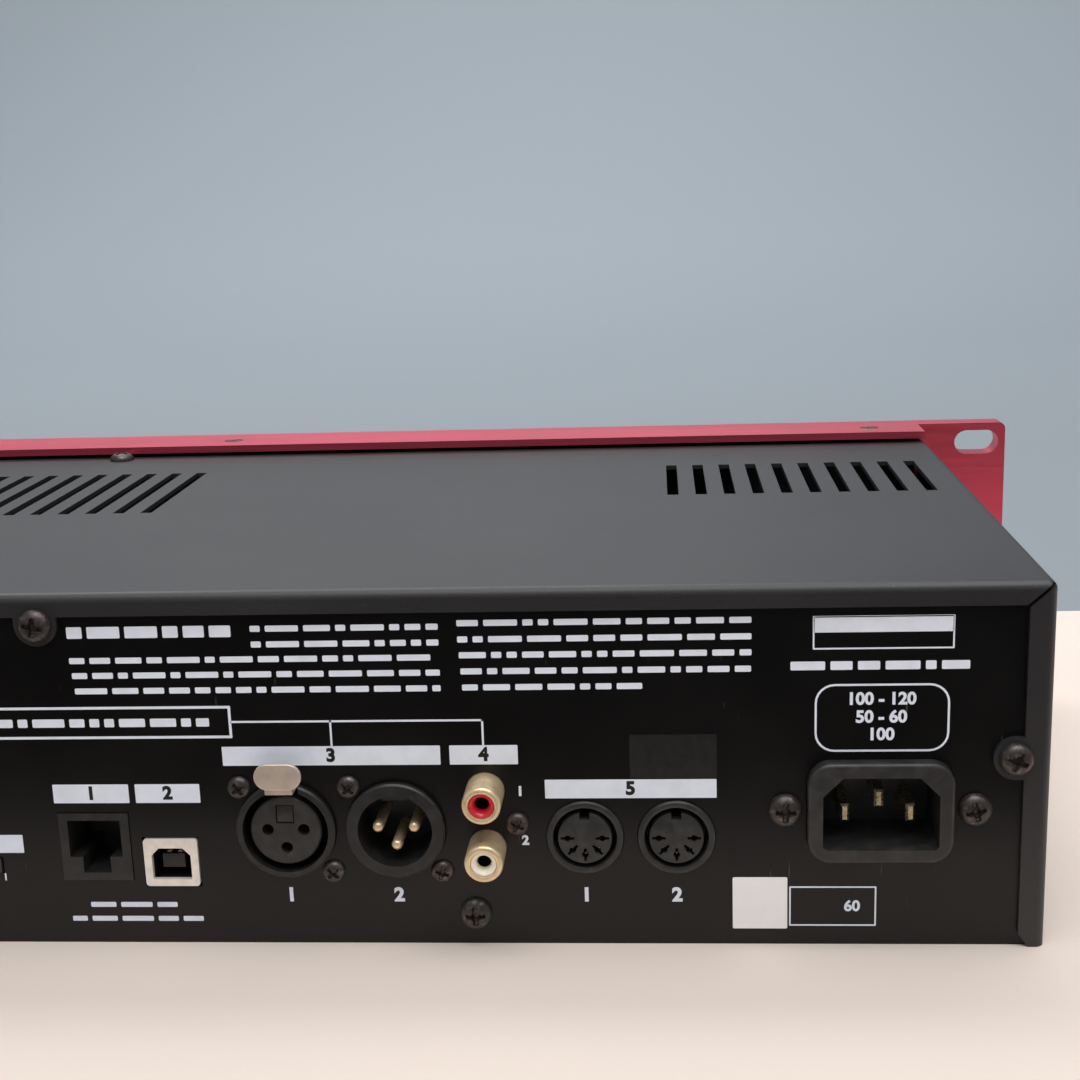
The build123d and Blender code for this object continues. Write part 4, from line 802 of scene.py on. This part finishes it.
def rear_print():
    """White print: label boxes, ruled lines, plain numbers, and bars where small print would be."""
    white = Piece()
    rng = random.Random(7)
    xlr_in = centre_of(islands("xlr_in_shell")[0])
    xlr_outs = sorted(centre_of(corners) for corners in islands("xlr_out_shells"))
    midi = sorted(centre_of(corners) for corners in islands("midi_sockets"))
    rca = centre_of(islands("rca_shells")[0])[0]
    inlet = centre_of(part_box("mains_inlet"))[0]
    usb = centre_of(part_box("usb_shell"))[0]
    pedal = centre_of(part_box("pedal_socket"))[0]
    ground = centre_of(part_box("ground_switch_body"))[0]
    jacks = sorted(centre_of(corners)[0] for corners in islands("jack_nuts") if corners[1].y > rear_y)
    pair_left, pair_right = xlr_outs[0][0], xlr_outs[1][0]

    boxes = [
        (xlr_in[0] - 13.1, xlr_outs[2][0] + 10.6, *UPPER_LABELS, "3"),
        (rca - 7.4, rca + 7.4, *UPPER_LABELS, "4"),
        (midi[0][0] - 8.4, midi[1][0] + 8.7, *MIDI_LABEL, "5"),
        (pedal - 8.5, pedal + 8.6, *DATA_LABELS, "1"),
        (usb - 6.9, usb + 7.6, *DATA_LABELS, "2"),
        (ground - 7.0, ground + 9.5, *SWITCH_LABEL, "0"),
        (pair_left - 13.0, pair_right + 13.0, *UPPER_LABELS, "6"),
        (jacks[0] - 9.5, jacks[1] + 9.5, *UPPER_LABELS, "8"),
        (jacks[2] - 9.5, jacks[3] + 9.5, *UPPER_LABELS, "7"),
    ]
    for left, right, foot, head, _ in boxes:
        label(white, rear_sheet, left, right, foot, head)

    # Selector box with its leader lines to the digital connectors.
    line_box(white, rear_sheet, SELECTOR_LEFT, SELECTOR_RIGHT, SELECTOR_FOOT, SELECTOR_HEAD, 0.6)
    words(white, rear_sheet, -56.0, 36.0, 51.2, 1.9, rng)
    stroke(white, rear_sheet, (SELECTOR_RIGHT, LEADER_UP), (rca, LEADER_UP))
    for across in (rca, XLR_LEADER):
        stroke(white, rear_sheet, (across, LEADER_UP), (across, UPPER_LABELS[1] + 0.1))

    # Heading and two blocks of small print.
    words(white, rear_sheet, 6.3, 42.3, 71.4, 2.6, random.Random(3))
    for start, end, foot in SMALL_PRINT:
        words(white, rear_sheet, start, end, foot, SMALL_PRINT_TALL, rng)

    # Notice frame, heading and rating box over the mains inlet.
    line_box(white, rear_sheet, 165.7, 194.9, 67.2, 74.5, 0.35)
    label(white, rear_sheet, 165.9, 194.7, 70.9, 74.4)
    words(white, rear_sheet, inlet - 19.0, inlet + 19.0, 62.7, 1.9, random.Random(5))
    line_box(white, rear_sheet, inlet - 13.9, inlet + 14.2, 44.5, 59.6, 0.45, 4.2)
    for text, up in (("100 - 120", 56.2), ("50 - 60", 52.2), ("100", 48.3)):
        digits(white, rear_sheet, text, inlet, up, 2.6, 0.14)
    line_box(white, rear_sheet, 161.0, 179.7, 4.3, 13.6, 0.35)
    digits(white, rear_sheet, "60", 174.5, 8.9, 2.4, 0.12)

    # Numbers under and beside the sockets.
    numbered = [xlr_in, xlr_outs[2], xlr_outs[0], xlr_outs[1], *midi]
    for number, (across, _) in zip("121212", numbered):
        digits(white, rear_sheet, number, across, SOCKET_NUMBER_UP, SOCKET_NUMBER_TALL, 0.2)
    digits(white, rear_sheet, "1", rca + 7.6, 35.8, 2.1, 0.14)
    digits(white, rear_sheet, "2", rca + 8.4, 24.4, 2.1, 0.14)
    for number, across in zip("1234", jacks):
        digits(white, rear_sheet, number, across, JACK_NUMBER_UP, SOCKET_NUMBER_TALL, 0.2)
    stroke(white, rear_sheet, (-13.4, 15.2), (-13.4, 16.6), 0.35)
    words(white, rear_sheet, pedal - 2.5, pedal + 17.5, 8.6, 1.2, rng)
    words(white, rear_sheet, pedal - 7.0, pedal + 23.0, 5.2, 1.2, rng)
    white.finish("rear_print_white", "print_white", "chassis", sharp=20)

    black = Piece()
    for left, right, foot, head, number in boxes:
        digits(black, rear_sheet, number, (left + right) / 2, (foot + head) / 2, 2.9, 0.2, INK)
    black.finish("rear_print_black", "print_black", "chassis", sharp=20)

    plain = Piece()
    outline = rounded(11.8 * MM, 12.1 * MM, 0.3 * MM, 3, 154.7 * MM, 9.7 * MM)
    plain.plate(rear_sheet, outline, 0, 2.5 * INK)
    plain.finish("rear_sticker_white", "sticker_white", "chassis", sharp=20)
    dark = Piece()
    outline = rounded(18.6 * MM, 9.9 * MM, 0.3 * MM, 3, 136.3 * MM, 43.7 * MM)
    dark.plate(rear_sheet, outline, 0, 2.5 * INK)
    dark.finish("rear_sticker_dark", "sticker_dark", "chassis", sharp=20)


rear_print()

# ---- Front: numerals, dial marks, lamps, pointers and the display ----
front_sheet = stand(Vector((0, front_y, 0)), "front")
KNOBS = sorted((name for name in nodes if name.endswith("_knob")), key=lambda name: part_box(name)[0].x)
BUTTONS = sorted((name for name in nodes if name.endswith("_button")), key=lambda name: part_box(name)[0].x)

DIAL_STEPS, DIAL_STEP_DEGREES, SELECT_MARKS = 10, 30, 24

# Millimetres from a control's middle to its number or lamp.
BUTTON_NUMBER_UP, BUTTON_LAMP_UP = 7.2, 11.4
JACK_NUMBER_ACROSS, ROCKER_NUMBER_UP = 11.5, 13.6
WINDOW_MARGIN = 1.6


def front_print():
    """Dial marks round the knobs, numbers over the buttons and jacks, and a frame round the window."""
    white = Piece()
    for name in KNOBS:
        low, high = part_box(name)
        place = middle((low, high))
        radius = (high.x - low.x) / 2
        spot = Vector((place.x, front_y, place.z))
        if name == "select_knob":
            for step in range(SELECT_MARKS):
                turn = stand(spot, "front", step * 2 * math.pi / SELECT_MARKS)
                white.box(turn, (-0.2 * MM, radius + 1.2 * MM, 0), (0.2 * MM, radius + 2.2 * MM, INK))
            continue
        for step in range(DIAL_STEPS + 1):
            angle = math.radians(DIAL_STEP_DEGREES * (DIAL_STEPS / 2 - step))
            numbered = step % 5 == 0
            start = radius + 1.3 * MM
            end = start + (1.9 if numbered else 1.2) * MM
            white.box(stand(spot, "front", angle), (-0.18 * MM, start, 0), (0.18 * MM, end, INK))
            if numbered:
                reach = radius / MM + 5.0
                digits(white, front_sheet, str(step), place.x / MM - reach * math.sin(angle),
                       place.z / MM + reach * math.cos(angle), 1.8, 0.06)
    for number, name in enumerate(BUTTONS):
        place = middle(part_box(name)) / MM
        digits(white, front_sheet, str(number + 1), place.x, place.z + BUTTON_NUMBER_UP, 2.0, 0.08)
    front_jacks = [corners for corners in islands("jack_nuts") if corners[0].y < 0]
    for number, corners in enumerate(front_jacks):
        place = middle(corners) / MM
        digits(white, front_sheet, str(number + 1), place.x + JACK_NUMBER_ACROSS, place.z, 2.4, 0.1)
    rocker = middle(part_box("power_switch_body")) / MM
    for number, side in (("1", 1), ("0", -1)):
        digits(white, front_sheet, number, rocker.x, rocker.z + side * ROCKER_NUMBER_UP, 2.2, 0.1)
    low, high = (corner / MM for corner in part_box("display_window"))
    line_box(white, front_sheet, low.x - WINDOW_MARGIN, high.x + WINDOW_MARGIN,
             low.z - WINDOW_MARGIN, high.z + WINDOW_MARGIN, 0.4, 1.2)
    white.finish("front_print_white", "front_white", "chassis", sharp=20)


def knob_pointers():
    for name in KNOBS:
        low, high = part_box(name)
        place = middle((low, high))
        radius = (high.x - low.x) / 2
        turn = stand(Vector((place.x, low.y, place.z)), "front")
        line = Piece()
        line.box(turn, (-0.34 * MM, 0.38 * radius, -0.72 * MM), (0.34 * MM, radius - 1.25 * MM, -0.06 * MM),
                 0.08 * MM, 1)
        line.finish(name + "_pointer", "front_white", name)
        cap = Piece()
        cap.lathe(turn, [
            (0.30 * radius, -0.02 * MM), (0.30 * radius - 0.25 * MM, 0.0), (0.27 * radius, -0.06 * MM),
            (0.2 * radius, -0.1 * MM), (0, -0.12 * MM),
        ], 48)
        cap.finish(name + "_cap", "cap_metal", name)


def button_lamps():
    """A small domed lamp over each button."""
    lamps = Piece()
    for name in BUTTONS:
        place = middle(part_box(name))
        stood = stand(Vector((place.x, front_y, place.z + BUTTON_LAMP_UP * MM)), "front")
        lamps.lathe(stood, [
            (1.55 * MM, -0.3 * MM), (1.55 * MM, 0.15 * MM), (1.35 * MM, 0.3 * MM), (1.2 * MM, 0.22 * MM),
            (1.15 * MM, 0.45 * MM), (0.85 * MM, 0.85 * MM), (0.45 * MM, 1.05 * MM), (0, 1.12 * MM),
        ], 36)
    lamps.finish("button_lamps", "lamp_red", "chassis")


CELL_COLUMNS, CELL_ROWS = 20, 2
CELL_PITCH, ROW_PITCH = 3.6 * MM, 7.0 * MM


def display_panel():
    """Unlit character display behind the window."""
    low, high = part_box("display_window")
    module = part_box("display_module")
    across, up = middle((low, high)).x, middle((low, high)).z
    stood = stand(Vector((across, module[0].y + 1.45 * MM, up)), "front")
    glass = Piece()
    glass.plate(stood, rounded(83.8 * MM, 26.8 * MM, 0.2 * MM, 2), 0, 0.3 * MM)
    glass.finish("display_glass", "display_unlit", "chassis")
    bezel = Piece()
    view = rounded(76 * MM, 20 * MM, 0.8 * MM, 4)
    bezel.plate(stood, rounded(83.9 * MM, 26.9 * MM, 0.2 * MM, 4), 0.3 * MM, 1.2 * MM, view)
    bezel.finish("display_bezel", "print_black", "chassis")
    cells = Piece()
    for row in range(CELL_ROWS):
        for column in range(CELL_COLUMNS):
            place = ((column - (CELL_COLUMNS - 1) / 2) * CELL_PITCH, ((CELL_ROWS - 1) / 2 - row) * ROW_PITCH)
            cells.plate(stood, rounded(3.1 * MM, 5.6 * MM, 0.1 * MM, 1, *place), 0.3 * MM, 0.33 * MM)
    cells.finish("display_cells", "display_cell", "chassis")


front_print()
knob_pointers()
button_lamps()
display_panel()

# ---- Camera, light and floor ----
CAMERA_PLACE = (-0.13410, 0.50173, 0.12837)
CAMERA_DEGREES = (76.6480, 1.8596, -176.0943)
CAMERA_LENS = 53.78
FILM_WIDTH = 36.0

camera_data = bpy.data.cameras.new("photo_camera")
camera_data.lens = CAMERA_LENS
camera_data.sensor_width = FILM_WIDTH
camera_data.clip_start = 0.01
camera = bpy.data.objects.new("photo_camera", camera_data)
bpy.context.scene.collection.objects.link(camera)
camera.location = CAMERA_PLACE
camera.rotation_euler = [math.radians(degrees) for degrees in CAMERA_DEGREES]
bpy.context.scene.camera = camera


def studio_surface(name, colour, spread):
    look = Look(name, colour, 0.7)
    look.tint(look.between(look.noise(120 * MM, 3.0), 0.35, 0.7), scaled(colour, 0.97))
    return look.bump(look.noise(spread, 4.0), 0.03 * MM, 0.4).material


# The unit rests on the rim of its faceplate and on the rear edge of its cover, so the table leans.
tilt = math.atan2(cover_low.z - plate_low.z, cover_high.y - plate_high.y)
floor_turn = Matrix.Rotation(tilt, 3, "X")
floor_origin = Vector((0, plate_high.y, plate_low.z))


def on_floor(x, y, lift=0.0):
    return floor_origin + floor_turn @ Vector((x, y - floor_origin.y, lift))


STAGE_REACH = 4.0  # how far the table and paper run to each side, the table back and the paper up
TABLE_FRONT = 0.094  # from the faceplate to the table's front edge
MIRRORED_STRIP = 0.062  # from the rear panel to where the table leaves its reflections
SWEEP_START, SWEEP_RADIUS, SWEEP_STEPS = -1.2, 0.9, 16


def studio():
    """Pale table, and from its front edge a sweep of blue-grey paper that rises in front of the unit."""
    table = bpy.data.meshes.new("studio_table")
    edge = plate_low.y - TABLE_FRONT
    split = rear_y + MIRRORED_STRIP
    sides = (-STAGE_REACH, STAGE_REACH)
    table.from_pydata([on_floor(x, y) for y in (edge, split) for x in sides], [], [(0, 1, 3, 2)])
    table.materials.append(studio_surface("table_top", (0.80, 0.69, 0.61), 0.8 * MM))
    table_rest = bpy.data.meshes.new("studio_table_rest")
    table_rest.from_pydata([on_floor(x, y) for y in (split, STAGE_REACH) for x in sides], [], [(0, 1, 3, 2)])
    table_rest.materials.append(table.materials[0])
    paper = bpy.data.meshes.new("studio_paper")
    rows = [(edge, 0.0), (SWEEP_START, 0.0)]
    for step in range(1, SWEEP_STEPS + 1):
        angle = math.pi / 2 * step / SWEEP_STEPS
        rows.append((SWEEP_START - SWEEP_RADIUS * math.sin(angle), SWEEP_RADIUS * (1 - math.cos(angle))))
    rows.append((SWEEP_START - SWEEP_RADIUS, STAGE_REACH))
    points = [on_floor(x, y, lift) for y, lift in rows for x in sides]
    faces = [(2 * row, 2 * row + 1, 2 * row + 3, 2 * row + 2) for row in range(len(rows) - 1)]
    paper.from_pydata(points, [], faces)
    backdrop = Look("backdrop_paper", (0.245, 0.275, 0.300), 0.75)
    # Painted shade: the paper is coloured darker on its flat part near the table and paler up the sweep, to
    # even out how the lamps light it.
    backdrop.tint(backdrop.between(backdrop.along("Y"), -0.5, -1.6), (0.325, 0.368, 0.402))
    paper.materials.append(backdrop.bump(backdrop.noise(1.5 * MM, 4.0), 0.03 * MM, 0.4).material)
    for face in paper.polygons:
        face.use_smooth = True
    for name, data in (("studio_table", table), ("studio_table_rest", table_rest), ("studio_paper", paper)):
        surface = bpy.data.objects.new(name, data)
        bpy.context.scene.collection.objects.link(surface)
        surface.visible_glossy = data is not table_rest


def soft_light(name, place, target, size, power, colour=(1, 1, 1), spread=math.pi):
    data = bpy.data.lights.new(name, "AREA")
    data.shape = "RECTANGLE"
    data.size, data.size_y = size
    data.energy = power
    data.color = colour
    data.spread = spread
    light = bpy.data.objects.new(name, data)
    bpy.context.scene.collection.objects.link(light)
    light.location = place
    light.rotation_mode = "QUATERNION"
    light.rotation_quaternion = (Vector(target) - Vector(place)).to_track_quat("-Z", "Y")


studio()
soft_light("key_light", (-0.3, 0.55, 1.5), (-0.1, 0.1, 0), (1.6, 1.2), 22)
soft_light("front_light", (0.4, -1.2, 1.5), (0, 0, 0), (1.6, 1.0), 14)
soft_light("backdrop_light", (0, -0.9, 2.4), (0, -2.2, 0.4), (3.0, 1.0), 30)

# The sky lights weakly from below and more from above, and the camera sees it paler than it lights.
HORIZON_LOW, HORIZON_HIGH = -0.05, 0.25
SKY_BELOW, SKY_ABOVE, SKY_SEEN = 0.02, 0.35, 0.48

world = bpy.data.worlds.new("studio_world")
world.use_nodes = True
sky = world.node_tree
direction = sky.nodes.new("ShaderNodeTexCoord")
upness = sky.nodes.new("ShaderNodeSeparateXYZ")
blend = sky.nodes.new("ShaderNodeMapRange")
blend.inputs["From Min"].default_value = HORIZON_LOW
blend.inputs["From Max"].default_value = HORIZON_HIGH
blend.inputs["To Min"].default_value = SKY_BELOW
blend.inputs["To Max"].default_value = SKY_ABOVE
sky.links.new(direction.outputs["Generated"], upness.inputs[0])
sky.links.new(upness.outputs["Z"], blend.inputs["Value"])
seen = sky.nodes.new("ShaderNodeLightPath")
shown = sky.nodes.new("ShaderNodeMapRange")
shown.inputs["To Max"].default_value = SKY_SEEN
sky.links.new(seen.outputs["Is Camera Ray"], shown.inputs["Value"])
sky.links.new(blend.outputs["Result"], shown.inputs["To Min"])
sky.links.new(shown.outputs["Result"], sky.nodes["Background"].inputs["Strength"])
sky.nodes["Background"].inputs["Color"].default_value = (0.88, 0.93, 1.0, 1)
bpy.context.scene.world = world
bpy.context.scene.view_settings.view_transform = "Standard"
